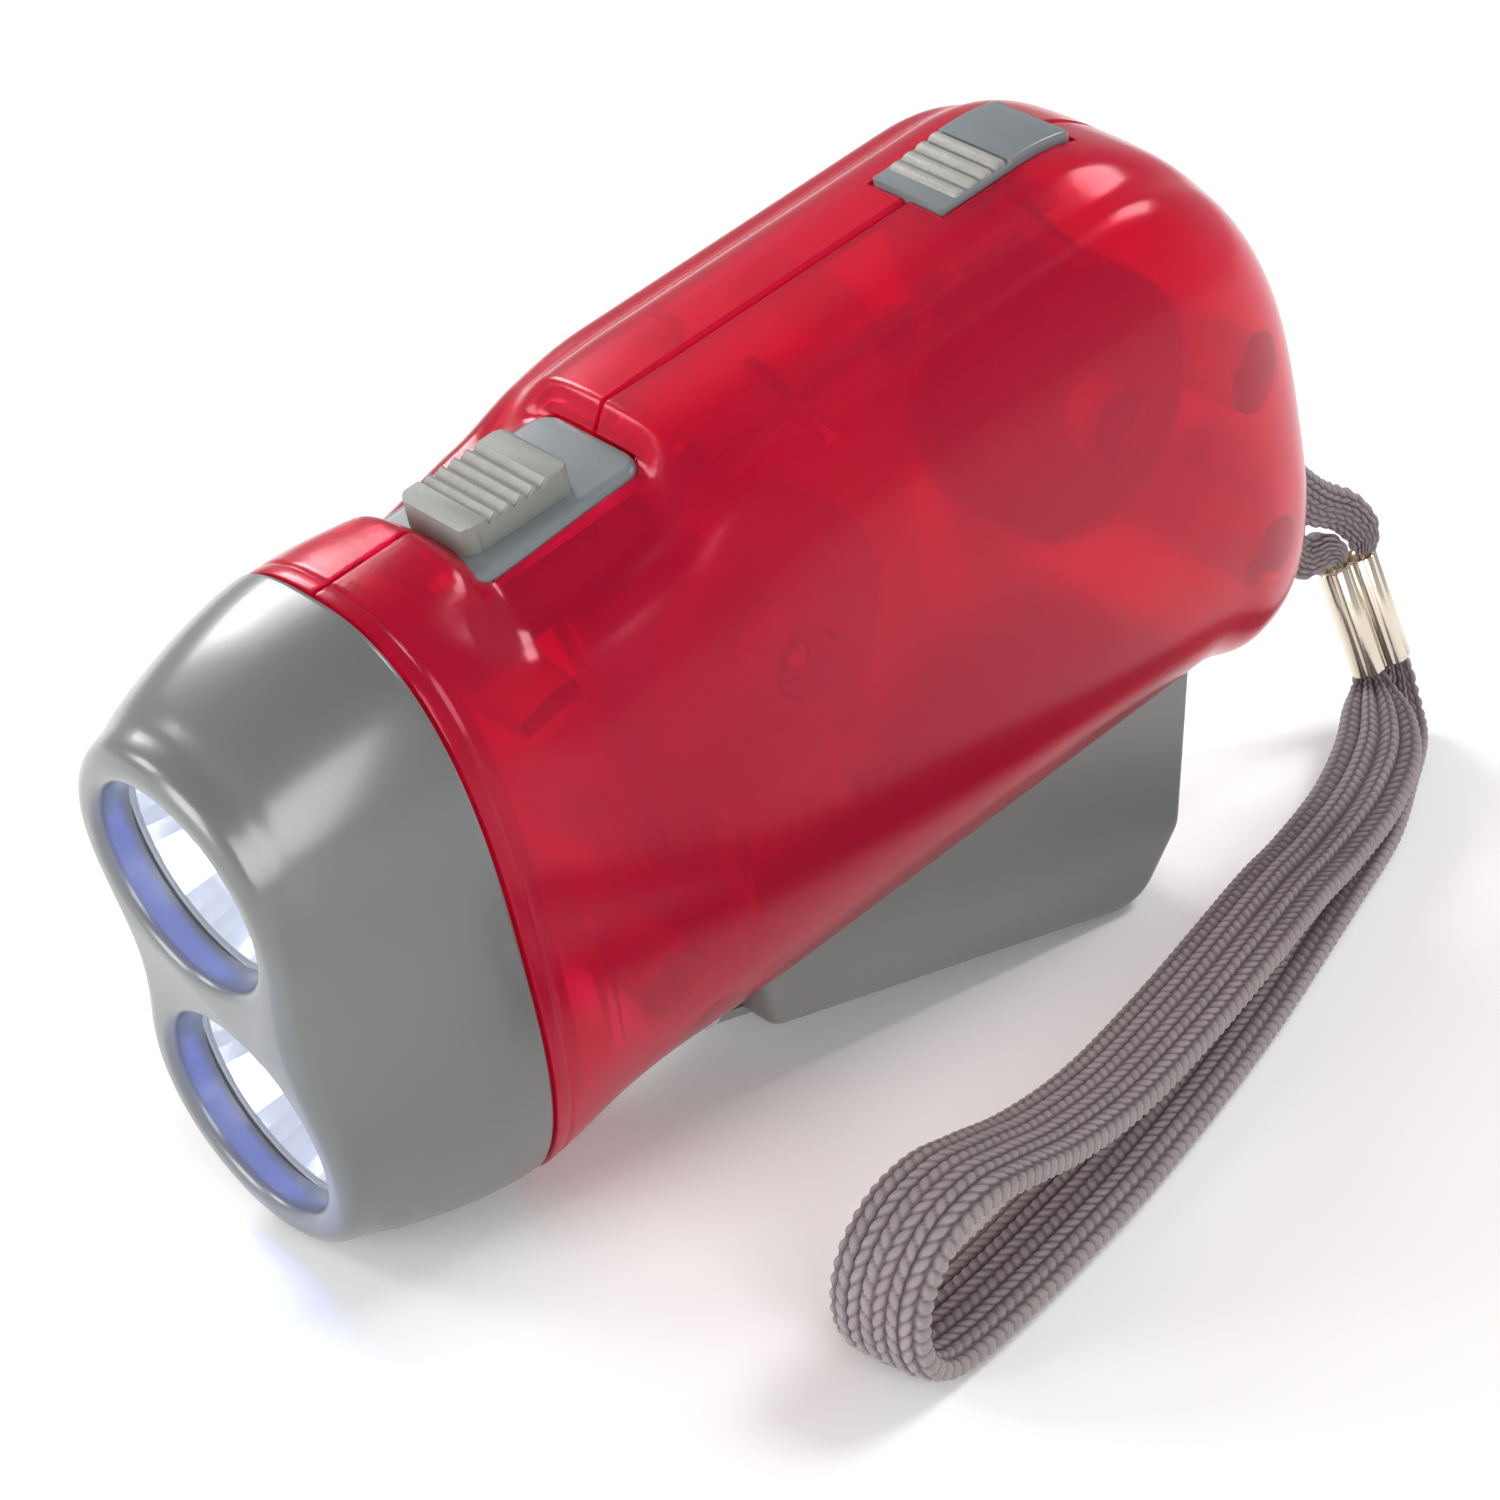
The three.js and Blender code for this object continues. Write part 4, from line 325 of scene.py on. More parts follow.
def show(name, part, material, body, angle=32, replaced=(), seated=True):
    """Part, in level millimetres, as a finished piece: seated on the table in metres, smooth up to angle, riding on
    its body, and standing for the nodes that it replaces."""
    mesh = closed_mesh(name, part)
    mesh.name = name
    points = np.zeros(len(mesh.vertices) * 3)
    mesh.vertices.foreach_get("co", points)
    points = points.reshape(-1, 3)
    points = seat(points) if seated else points / 1000
    mesh.vertices.foreach_set("co", points.ravel())
    mesh.polygons.foreach_set("use_smooth", np.ones(len(mesh.polygons), bool))
    mesh.update()
    mesh.set_sharp_from_angle(angle=math.radians(angle))
    mesh.materials.clear()
    mesh.materials.append(material)
    piece = placed(name, mesh)
    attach(piece, body)
    if replaced:
        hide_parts(*replaced)
    return piece


# Fine grain shared by the moulded and metal finishes: a slow drift of shade, a fast speckle for the bump.
grain = bpy.data.node_groups.new("surface_grain", "ShaderNodeTree")
for way, kind, sockets in (
    ("INPUT", "Vector", ["Vector"]), ("INPUT", "Color", ["Colour", "Shade"]),
    ("INPUT", "Float", ["Drift Scale", "Speckle Scale", "Roughness", "Roughness Spread"]),
    ("OUTPUT", "Color", ["Colour"]), ("OUTPUT", "Float", ["Roughness", "Height"]),
):
    for socket in sockets:
        grain.interface.new_socket(socket, in_out=way, socket_type="NodeSocket" + kind)
grain_in, grain_out = grain.nodes.new("NodeGroupInput"), grain.nodes.new("NodeGroupOutput")
drift = grain.nodes.new("ShaderNodeTexNoise")
fill(drift, Detail=3)
speckle = grain.nodes.new("ShaderNodeTexNoise")
fill(speckle, Detail=2)
blend_shade = grain.nodes.new("ShaderNodeMix")
blend_shade.data_type = "RGBA"
spread = grain.nodes.new("ShaderNodeMath")
spread.operation = "MULTIPLY_ADD"
centred = grain.nodes.new("ShaderNodeMath")
centred.operation = "SUBTRACT"
centred.inputs[1].default_value = 0.5
join(
    grain,
    (grain_in, "Vector", drift, "Vector"),
    (grain_in, "Vector", speckle, "Vector"),
    (grain_in, "Drift Scale", drift, "Scale"),
    (grain_in, "Speckle Scale", speckle, "Scale"),
    (drift, "Fac", blend_shade, "Factor"),
    (grain_in, "Colour", blend_shade, "A"),
    (grain_in, "Shade", blend_shade, "B"),
    (drift, "Fac", centred, 0),
    (centred, 0, spread, 0),
    (grain_in, "Roughness Spread", spread, 1),
    (grain_in, "Roughness", spread, 2),
    (blend_shade, "Result", grain_out, "Colour"),
    (spread, 0, grain_out, "Roughness"),
    (speckle, "Fac", grain_out, "Height"),
)


def finish_of(name, colour, shade, roughness, spread_by, drift_scale, speckle_scale, bump, **sockets):
    """Material from the surface grain; the keyword sockets are set on the shader itself."""
    material = bpy.data.materials.new(name)
    material.use_nodes = True
    tree = material.node_tree
    shader = tree.nodes["Principled BSDF"]
    place = tree.nodes.new("ShaderNodeTexCoord")
    group = tree.nodes.new("ShaderNodeGroup")
    group.node_tree = grain
    fill(group, Colour=(*colour, 1), Shade=(*shade, 1), Roughness=roughness, Roughness_Spread=spread_by,
         Drift_Scale=drift_scale, Speckle_Scale=speckle_scale)
    raised = tree.nodes.new("ShaderNodeBump")
    fill(raised, Strength=bump, Distance=0.0002)
    join(tree, (place, "Object", group, "Vector"), (group, "Colour", shader, "Base Color"),
         (group, "Roughness", shader, "Roughness"), (group, "Height", raised, "Height"),
         (raised, "Normal", shader, "Normal"))
    fill(shader, **sockets)
    return material


red_clear = finish_of(
    "red_clear", (0.86, 0.012, 0.075), (0.74, 0.006, 0.050), 0.20, 0.10, 45.0, 1800.0, 0.05,
    Transmission_Weight=0.74, IOR=1.45, Specular_IOR_Level=0.5, Specular_Tint=(1.0, 0.42, 0.5, 1),
)

# Places, in x and z, of the screw bosses, the gears' axles, the flywheel, the gear plate's posts, the strap's post.
boss_places = [(-96.8, 5.2), (-96.3, -12.5), (-30.9, -11.9)]
axle_one, axle_two, flywheel_place = (-64.0487, -7.6875), (-62.1727, 6.5898), (-47.9, 8.5)
post_places = [(-72.0, 18.0), (-50.0, 20.0), (-34.0, -3.0)]
strap_post, strap_post_radius = (-103.2, -14.5), 1.2
rib_half = 0.5

seam_edge = np.array([0, 0.0022, 0.0041, 0.0065, 0.011, 0.019, 0.032])
half_angles = np.concatenate([seam_edge, np.linspace(0.05, np.pi - 0.05, 78), np.pi - seam_edge[::-1]])
round_angles = np.linspace(0, 2 * np.pi, 129)[:-1]
body_stations = np.concatenate([
    [-17.9, -18.0, -18.2, -18.6, -19.0, -19.2, -19.35, -19.5, -19.65, -19.8, -20.1], np.linspace(-21, -26, 8),
    np.linspace(-26.5, -29.6, 12), np.linspace(-30.5, -43.8, 16), np.linspace(-44.2, -46.6, 12),
    np.linspace(-47.5, -85.5, 44), shell_rear + crest_arc * (1 - np.sin(np.linspace(0.04, np.pi / 2, 40)) ** 0.9),
])


def rounded(corners, radii):
    """Closed outline whose corners are turned into arcs of the radii given, each of 8 points."""
    p = np.asarray(corners, float)
    out = []
    for i, radius in enumerate(radii):
        here, back, on = p[i], p[i - 1] - p[i], p[(i + 1) % len(p)] - p[i]
        back_length, on_length = np.linalg.norm(back), np.linalg.norm(on)
        if radius <= 0:
            out.append(here)
            continue
        u, v = back / back_length, on / on_length
        half = math.acos(np.clip(u @ v, -1, 1)) / 2
        reach = min(radius / math.tan(half), 0.49 * back_length, 0.49 * on_length)
        true = reach * math.tan(half)
        centre = here + (u + v) / np.linalg.norm(u + v) * (true / math.sin(half))
        start, end = here + u * reach - centre, here + v * reach - centre
        sweep = math.atan2(start[0] * end[1] - start[1] * end[0], start @ end)
        for t in np.linspace(0, sweep, 8):
            c, s = math.cos(t), math.sin(t)
            out.append(centre + np.array([start[0] * c - start[1] * s, start[0] * s + start[1] * c]))
    return np.array(out)


def plan(front, rear, half_width, front_radius, rear_radius):
    """Outline, seen from above, of an oblong on the torch's middle with rounded corners."""
    corners = [(front, -half_width), (front, half_width), (rear, half_width), (rear, -half_width)]
    return rounded(corners, [front_radius, front_radius, rear_radius, rear_radius])


switch_window = plan(-29.3, -44.8, 6.05, 0.3, 1.7)
channel_floor, channel_half_width = 22.9, 6.2


def channel_length(rear, front):
    """Length of the channel that the switch's plate slides in: its ceiling drops at the sides with the plate."""
    low, out = channel_floor, channel_half_width
    section = [(-out, low), (out, low), (out, 24.72), (5.1, 25.08), (-5.1, 25.08), (-out, 24.72)]
    return tube_of(np.array([[(x, y, z) for y, z in section] for x in (rear, front)]))


def half_skin(side):
    """Solid half body. The rim at the seam and the rim at the head are rounded to quarter circles, and a fine groove
    runs round behind the head."""
    seam_round, rim_round, groove_x, groove_size = 0.35, 0.3, -19.4, 0.16
    outer = skin(body_stations, half_angles, 0.0)
    near = np.maximum(0, seam_round - np.abs(outer[..., 1]))
    dip = seam_round - np.sqrt(np.maximum(0, seam_round**2 - near**2))
    outer[..., 2] -= np.sign(np.cos(half_angles)) * dip * smooth((outer[..., 0] - shell_rear) / 3)
    past = np.maximum(0, outer[..., 0] - (shell_front - rim_round))
    rim = rim_round - np.sqrt(np.maximum(0, rim_round**2 - past**2))
    groove = groove_size * np.exp(-(((outer[..., 0] - groove_x) / groove_size) ** 2))
    outer[..., 1:] *= 1 - (rim + groove)[..., None] / np.linalg.norm(outer[..., 1:], axis=-1, keepdims=True)
    outer[..., 1] = np.maximum(outer[..., 1], seam)
    rows, columns = outer.shape[:2]
    faces = grid_faces(rows, columns, False)
    faces.append(list(range(columns))[::-1])
    top_line = [i * columns for i in range(rows)]
    faces.append(top_line + [i * columns + columns - 1 for i in range(rows)][::-1])
    return outer.reshape(-1, 3) * np.array([1, side, 1]), faces


def half_cavity(side):
    """The hollow inside the wall, less what stands in it: bosses, bearings, posts, shelves and ribs."""
    tail_arc = (crest_arc - shell_wall) * (1 - np.sin(np.linspace(0.04, np.pi / 2, 24)) ** 0.9)
    inner_stations = np.concatenate([[-16.9], body_stations[10:91:2], shell_rear + shell_wall + tail_arc])
    hollow = tube_of(skin(inner_stations, round_angles, shell_wall))
    far = side * 30.0
    kept = [
        *(pin(x, z, 3.2, side * seam, far) for x, z in boss_places),
        pin(hinge_x, hinge_z, 3.4, side * 8.1, far),
        pin(*strap_post, strap_post_radius, side * seam, far, 24),
        box(-24.3, -30.3, side * 6, far, 15.4, 16.6),
        *(box(x - rib_half, x + rib_half, side * 4.0, far, 21.8, 30) for x in (-57.0, -84.0)),
        *(box(x - rib_half, x + rib_half, side * 12.6, far, -16, -2) for x in (-25.0, -38.5)),
    ]
    if side > 0:
        kept += [pin(*flywheel_place, 3.0, 11.5, far), pin(-82.0, 9.5, 3.0, 11.6, far)]
    else:
        kept += [pin(x, z, 2.4, -9.1, far) for x, z in (axle_one, axle_two, flywheel_place)]
        kept += [pin(x, z, 2.2, -0.1, far, 24) for x, z in post_places]
    return carved(hollow, ("DIFFERENCE", kept))


def half_openings(side):
    """Slot for the lever, window for the switch, slot for the lock's stem, hinge bore and screw holes: the right half
    takes the screws' heads, the left half their threads."""
    slot_side = [(-91.2, 11.9), (-40.2, 11.9), (-40.2, 8.1), (-31.4, 8.1)]
    lever_slot = [(x, -y) for x, y in slot_side] + slot_side[::-1]
    openings = [
        prism(lever_slot, -60, -16.6, "z"), prism(switch_window, channel_floor, 60, "z"),
        box(-90.5, -83.3, -2.1, 2.1, 22.4, 60), pin(hinge_x, hinge_z, 1.7, -11.3, 11.3),
    ]
    head_hole, thread_hole, head_seat = 2.7, 1.45, -12.0
    for x, z in boss_places:
        if side < 0:
            stepped = [(-30, head_hole), (head_seat, head_hole), (head_seat, thread_hole), (1, thread_hole)]
            openings.append(turned(stepped, (x, 0, z), "y"))
        else:
            openings.append(pin(x, z, thread_hole, -1, 8.3))
    if side > 0:
        openings.append(pin(*flywheel_place, 1.2, 9, 14.3))
    return openings


def shell_half(side):
    """Left half for side 1, right half for side -1."""
    post = pin(*strap_post, strap_post_radius, -9, 9, 24)
    window = carved(box(-107.9, -98.4, -2.6, 2.6, -19.3, -9.7), ("DIFFERENCE", post))
    channel = [channel_length(-48.4, -44.75), channel_length(-29.35, -24.3)]
    fork_slot = box(-40.1, -31.7, -2.4, 2.4, 21.2, 25.0)
    tray_front, tray_rear, tray_depth = -77.6, -92.15, 0.45
    lock_tray = [(x, crest_height(x) - tray_depth) for x in np.linspace(tray_rear, tray_front, 16)]
    lock_tray += [(tray_front, 32), (tray_rear, 32)]
    cuts = [half_cavity(side), window, half_openings(side), channel, fork_slot, prism(lock_tray, -4.3, 4.3)]
    return carved(half_skin(side), *[("DIFFERENCE", cut) for cut in cuts])


for half, side in (("left", 1), ("right", -1)):
    show("shell_half_" + half, shell_half(side), red_clear, "housing", 32, ["shell_" + half])

# Head: one moulding in satin grey plastic. Its front is two lobes round the lamp openings, and it swells back to
# the shell's own section, where a spigot plugs it into the shell.
head_grey = finish_of(
    "head_grey", (0.118, 0.124, 0.119), (0.098, 0.104, 0.101), 0.30, 0.08, 50.0, 2200.0, 0.05,
    Coat_Weight=0.6, Coat_Roughness=0.20,
)
lamp_spacing, opening_radius, lobe_radius = 11.3, 9.0, 11.6
front_round, mouth_round = 1.2, 0.9
head_rear, head_power = -17.6, 2.7
head_angles = np.linspace(0, 2 * np.pi, 193)[:-1]


def lobes(angles, radius):
    """Distance out to two circles one above the other, joined by a waist that is 2.1 mm less than their radius."""
    s, c = np.abs(np.sin(angles)), np.abs(np.cos(angles))
    crown = lamp_spacing * c + np.sqrt(np.maximum(0, radius**2 - (lamp_spacing * s) ** 2))
    reach = radius / np.maximum(s, 1e-6)
    for _ in range(12):
        along = np.minimum(1, reach * c / lamp_spacing)
        reach = (radius - 2.1 * np.cos(np.pi / 2 * along) ** 2) / np.maximum(s, 1e-6)
    return np.where(crown * c >= lamp_spacing, crown, reach)


def head_rings(stations, inset):
    """Rings from the lobes at the front to the superellipse of the shell at the rear, with a rounded front rim and
    a soft crease close behind the upper and lower rims. The outermost surface has a small bevel at its rear."""
    s, c = np.abs(np.sin(head_angles)), np.abs(np.cos(head_angles))
    half_wide, half_high = shell_front_half_width - inset, (shell_crest - shell_chin) / 2 - inset
    rear = ((s / half_wide) ** head_power + (c / half_high) ** head_power) ** (-1 / head_power)
    rings = []
    for x in stations:
        edge = min(1.0, max(0.0, 1 + x / front_round))
        front = lobes(head_angles, lobe_radius - inset - front_round * (1 - math.sqrt(1 - edge**2)))
        share = 1 - (1 - min(1.0, max(0.0, x / head_rear))) ** 1.6
        reach = front + (rear - front) * share
        reach = reach - 0.25 * math.exp(-(((x + 3.0) / 1.1) ** 2)) * c**4
        if inset == 0:
            reach = reach - max(0.0, head_rear + 0.3 - x) * 0.6
        y, z = reach * np.sin(head_angles), reach * np.cos(head_angles)
        rings.append(np.stack([np.full_like(reach, x), y, z], axis=1))
    return np.array(rings)


front_steps = -front_round * (1 - np.cos(np.linspace(0, np.pi / 2, 9)))
head_stations = np.concatenate([front_steps, np.linspace(-1.6, -17.2, 34), [-17.3, -17.45, head_rear]])
head_body = tube_of(head_rings(head_stations, 0.0))
spigot = tube_of(head_rings([-8.6, -12, -15, -17.4, -19, head_rear - 3.8], 2.1))
cavity = tube_of(head_rings([-8.6, -12, -15, -17.8], 2.01))
bore = tube_of(head_rings([-8.59, -12, -15, -17.4, -19, head_rear - 4.8], 3.5))
mouth = [(1.0, opening_radius + mouth_round), (0.0, opening_radius + mouth_round)]
for t in np.linspace(0, np.pi / 2, 6)[1:]:
    mouth.append((-mouth_round * (1 - math.cos(t)), opening_radius + mouth_round * (1 - math.sin(t))))
mouth.append((-3.4, opening_radius))
lamp_centres = [(0, 0, z) for z in (-lamp_spacing, lamp_spacing)]
mouths = [turned(mouth, centre, "x", 96) for centre in lamp_centres]
seats = [turned([(-9.6, 10.9), (-3.2, 10.9)], centre, "x", 96) for centre in lamp_centres]
head = carved(
    head_body, ("UNION", spigot), ("DIFFERENCE", cavity), ("DIFFERENCE", bore), ("DIFFERENCE", mouths),
    ("DIFFERENCE", seats),
)
show("head_shell", head, head_grey, "housing", 40, ["head_bezel"])

# Lamps: in each opening a clear flat lens, a mirror-coated bowl pressed with facets that opens like a parabola,
# and a 5 mm lamp of cast resin with its two legs. They are pushed in from behind and held by the board.
lens_clear = finish_of(
    "lens_clear", (0.97, 0.98, 1.0), (0.96, 0.97, 1.0), 0.03, 0.02, 50.0, 2500.0, 0.004,
    Transmission_Weight=1.0, IOR=1.46,
)
# The bowl's mirror also glows faintly blue-white: a painted glow that stands for the lamp's light falling on it.
mirror = finish_of(
    "mirror_coat", (0.93, 0.94, 0.97), (0.88, 0.89, 0.93), 0.13, 0.05, 200.0, 3000.0, 0.02,
    Metallic=1.0, Emission_Color=(0.80, 0.86, 1.0, 1), Emission_Strength=0.5,
)
lamp_clear = finish_of(
    "lamp_resin", (0.9, 0.93, 1.0), (0.85, 0.9, 1.0), 0.12, 0.05, 200.0, 3000.0, 0.01,
    Emission_Color=(0.82, 0.88, 1.0, 1), Emission_Strength=6.0,
)
bowl_rear, bowl_depth, bowl_flare, bowl_throat, bowl_wall, bowl_sides = -14.8, 9.6, 6.6, 3.1, 0.8, 40
dome_front, dome_radius, axis_gap = -10.6, 2.5, 0.01
leg_radius, leg_offset = 0.35, 1.27


def lamp(name, z):
    """One lamp at height z, with a faint blue light just behind its lens for the glow on the opening's wall."""
    centre = (0, 0, z)
    rim = [(-4.9, 9.6), (-4.6, 10.0), (-4.35, 10.6), (-3.7, 10.6), (-3.5, 10.4)]
    lens = turned(rim, centre, "x", 96)
    show("clear_lens_" + name, lens, lens_clear, "housing", 32, ["lens_" + name])
    shares = np.linspace(0, 1, 8)
    inside, outside = (
        [(bowl_rear + bowl_depth * t, throat + bowl_flare * math.sqrt(t)) for t in shares]
        for throat in (bowl_throat, bowl_throat + bowl_wall)
    )
    profile = outside + inside[::-1] + outside[:1]
    rings = turned(profile, centre, "x", bowl_sides)[0]
    bowl = (rings, grid_faces(len(profile), bowl_sides, True))
    show("mirror_bowl_" + name, bowl, mirror, "housing", 4, ["reflector_" + name])
    dome = [(-16.1, axis_gap), (-16.1, 2.9), (-15.1, 2.9), (-15.1, dome_radius), (dome_front, dome_radius)]
    for t in np.linspace(0, np.pi / 2, 8)[1:]:
        dome.append((dome_front + dome_radius * math.sin(t), max(axis_gap, dome_radius * math.cos(t))))
    leg = [(-19.5, leg_radius), (-16.0, leg_radius)]
    legs = [turned(leg, (0, side * leg_offset, z), "x", 12) for side in (-1, 1)]
    resin = [turned(dome, centre, "x", 40), *legs]
    show("lamp_" + name, resin, lamp_clear, "housing", 32, ["led_" + name])
    glow = soft_box("glow_" + name, seat([-3.35, 0, z]), seat([10, 0, z]), 0.0145, 0.0024, (0.09, 0.17, 1.0))
    glow.data.shape = "DISK"
    glow.visible_camera = False


lamp("upper", lamp_spacing)
lamp("lower", -lamp_spacing)

# Switch: a grey plate that slides in the saddle under the shell's lip, with a ribbed knob moulded on it and a
# fork below that carries the nub of the slide switch on the board.
plate_grey = finish_of(
    "plate_grey", (0.145, 0.165, 0.172), (0.125, 0.145, 0.155), 0.32, 0.08, 80.0, 2200.0, 0.05,
    Coat_Weight=0.3, Coat_Roughness=0.25,
)
knob_grey = finish_of("knob_grey", (0.20, 0.205, 0.188), (0.16, 0.168, 0.158), 0.38, 0.10, 120.0, 2600.0, 0.08)
# The ribs' grey is a lighter copy of the knob's grey: painted highlight for their lit faces.
rib_grey_painted_highlight = finish_of("rib_grey_painted_highlight", (0.31, 0.30, 0.28), (0.21, 0.205, 0.19), 0.45, 0.15, 900.0, 4200.0, 0.35)
plate_rear, plate_half_width, plate_corner = -44.6, 5.9, 1.5
plate_bottom, bevel_foot, bevel_width, bevel_height = 23.2, 24.6, 0.9, 0.4


def plate_rings():
    """Sections across the plate, one at each place along it. Each is a flat slab with a 0.9 by 0.4 mm rounded bevel
    along both top edges; near the rear its half-width draws in on a quarter circle of 1.5 mm."""
    corner = plate_rear + plate_corner * (1 - np.sin(np.linspace(0, np.pi / 2, 12)))
    places = np.concatenate([[-24.6, -24.8], np.linspace(-26, corner[0], 8), corner[1:]])
    past = np.clip((plate_rear + plate_corner - places) / plate_corner, 0, 1)
    half = plate_half_width - plate_corner * (1 - np.sqrt(1 - past**2))
    turn = np.linspace(0, np.pi / 2, 6)
    side_y = np.concatenate([[0.0], bevel_width * (np.cos(turn) - 1)])
    side_z = np.concatenate([[plate_bottom], bevel_foot + bevel_height * np.sin(turn)])
    rings = []
    for x, w in zip(places, half):
        y = np.concatenate([w + side_y, -(w + side_y)[::-1]])
        z = np.concatenate([side_z, side_z[::-1]])
        rings.append(np.stack([np.full_like(y, x), y, z], axis=1))
    return np.array(rings)


fork = [box(x, x + 1, -2.05, 2.05, 21.2, 23.4) for x in (-33.0, -36.4)]
show("switch_plate", [tube_of(plate_rings()), *fork], plate_grey, "switch", 40, ["switch_slider"])

knob_top, knob_foot, knob_half_width, rib_pitch, rib_count = 27.4, 24.9, 4.1, 1.25, 5
knob_side = [
    (-29.0, knob_foot), (-29.05, knob_top - 0.6), (-29.2, knob_top - 0.22), (-29.5, knob_top), (-31.3, knob_top),
]
# Thin slabs on each rib's front slope carry the lighter rib grey as painted highlight.
painted_highlight_slabs = []
for i in range(rib_count):
    x = -31.35 - rib_pitch * i
    valley, tip = (x - 0.05, knob_top - 0.55), (x - 0.85, knob_top)
    knob_side += [(x, knob_top - 0.50), valley, tip]
    painted_highlight_slabs.append([
        (valley[0] - 0.02, valley[1] + 0.03), (tip[0] + 0.04, tip[1] + 0.03),
        (tip[0], tip[1] - 0.2), (valley[0] - 0.1, valley[1] - 0.1),
    ])
    if i < rib_count - 1:
        knob_side.append((x - 1.05, knob_top - 0.03))
knob_side += [(-39.2, knob_top), (-39.5, knob_top - 0.15), (-39.6, knob_top - 0.5), (-39.75, knob_foot)]
knob = prism(knob_side, -knob_half_width, knob_half_width, "y", 0.15)
knob = carved(knob, ("INTERSECT", prism(plan(-29.0, -39.7, knob_half_width, 1.5, 1.5), 24.0, 28.6, "z")))
show("switch_knob", knob, knob_grey, "switch", 30)
show("knob_rib_painted_highlight", [prism(face, -3.9, 3.9) for face in painted_highlight_slabs], rib_grey_painted_highlight, "switch", 30)

# Lock: a pad that follows the arch of the shell's top, with ribs at its front for the thumb. A stem passes through
# the slot to the hook that catches the closed lever.
lock_front, lock_rear, lock_half_width = -77.8, -91.9, 4.1
bar_pitch, bar_count = 1.45, 4


def lock_pad():
    """The pad's side outline, drawn out across the torch: its foot lies 0.35 mm below the crest in the shell's tray,
    its top steps up from the nose, over the ribs' ground, to the rear. The ribs are four bars with round backs."""
    rib_start = lock_front - 1.5
    rib_end = lock_front - 1.6 - bar_count * bar_pitch
    points = [(x, crest_height(x) - 0.35) for x in np.linspace(lock_rear, lock_front, 14)]
    points.append((lock_front - 0.1, crest_height(lock_front) + 0.45))
    for x in np.linspace(rib_start, rib_end, 5):
        points.append((x, crest_height(x) + 0.45 + 0.1 * (rib_start - x) / (rib_start - rib_end)))
    for x in np.linspace(rib_end - 0.1, lock_rear + 0.4, 12):
        points.append((x, crest_height(x) + 0.85))
    points.append((lock_rear, crest_height(lock_rear) + 0.55))
    curve = [(0, -0.5), (0, -0.05), (0.12, 0.2), (0.4, 0.4), (0.8, 0.45), (1.1, 0.36), (1.3, 0.1), (1.3, -0.5)]
    bars = []
    for i in range(bar_count):
        x, climb = lock_front - 1.65 - bar_pitch * i, 0.28 + 0.32 * i / (bar_count - 1)
        bar = [(x - back, crest_height(x - back) + climb + rise) for back, rise in curve]
        bars.append(prism(bar, -3.85, 3.85, "y", 0.25))
    return prism(points, -lock_half_width, lock_half_width, "y", 0.3), bars


pad, pad_bars = lock_pad()
lock_plan = prism(plan(-77.7, -92.1, 4.2, 1.0, 1.3), 15.0, 32.0, "z")
pad = carved(pad, ("INTERSECT", lock_plan), ("UNION", box(-87, -83.6, -1.7, 1.7, 22.7, 27.0)))
show("lock_pad", pad, plate_grey, "lock", 34, ["lock_slider"])
# The lock's ribs take the lighter rib grey as painted highlight.
show("lock_ribs", pad_bars, rib_grey_painted_highlight, "lock", 34)

# Lever: a grey channel moulding hinged under the head end, with a toothed fan that drives the gears and a catch for
# the lock. Its heel is cut off at a slant and all its edges are rounded.
lever_grey = finish_of(
    "lever_grey", (0.165, 0.168, 0.160), (0.140, 0.144, 0.138), 0.36, 0.08, 50.0, 2200.0, 0.05,
    Coat_Weight=0.3, Coat_Roughness=0.26,
)
lever_slope = math.tan(math.radians(20.8))
sole_drop, sole_thickness = 3.5, 0.8
heel_top, heel_foot, heel_cut = (-90.0, -20.6), (-84.6, -41.0), -36.4


def sole(x, inset):
    """Height of the lever's sole, or of its inner face, at x."""
    return hinge_z - (sole_drop - inset) / math.cos(math.atan(lever_slope)) - (hinge_x - x) * lever_slope


def lever_outline(inset, rise=0.0):
    """Side outline of the walls, drawn in by the inset, its open top raised: the heel slants in down to the cut."""
    front, rear = hinge_x - 5.4 - inset, heel_top[0] + inset
    share = (heel_cut - heel_top[1]) / (heel_foot[1] - heel_top[1])
    cut_rear = heel_top[0] + (heel_foot[0] - heel_top[0]) * share + inset
    corners = [
        (front, -18.6 + rise), (rear, heel_top[1] + rise), (cut_rear, heel_cut),
        (-80.0, sole(-80.0, inset)), (front, sole(front, inset)),
    ]
    return rounded(corners, [0, 0, 3.2 - inset, 4.5 - inset, 1.6])


def tooth_fan():
    """Involute teeth on a web that runs down to the lever's floor. A flank leaves its base circle by the angle
    tan a - a, where a is the pressure angle at that radius."""
    module, teeth, first_tooth, web_end = 0.7, 80, 150.5, 200.8
    pitch, step = module * teeth / 2, 360 / teeth
    base = pitch * math.cos(math.radians(25))

    def flank(radius):
        tangent = math.sqrt(max(0, (radius / base) ** 2 - 1))
        return tangent - math.atan(tangent)

    def polar(radius, angle):
        return hinge_x + radius * math.cos(angle), hinge_z + radius * math.sin(angle)

    half_tooth = math.pi * 0.44 / teeth + flank(pitch)
    radii = [pitch - 1.2 * module, pitch, pitch + 0.9 * module]
    points = [(hinge_x, hinge_z), polar(radii[0], math.radians(146.5))]
    for k in range(7):
        middle = math.radians(first_tooth + step * k)
        points += [polar(r, middle - half_tooth + flank(r)) for r in radii]
        points += [polar(r, middle + half_tooth - flank(r)) for r in radii[::-1]]
    points += [polar(radii[0], math.radians(t)) for t in np.arange(187.5, web_end, step)]
    points += [(x, sole(x, sole_thickness)) for x in (hinge_x - radii[0], hinge_x)]
    return prism(points, -7.8, -5.0)


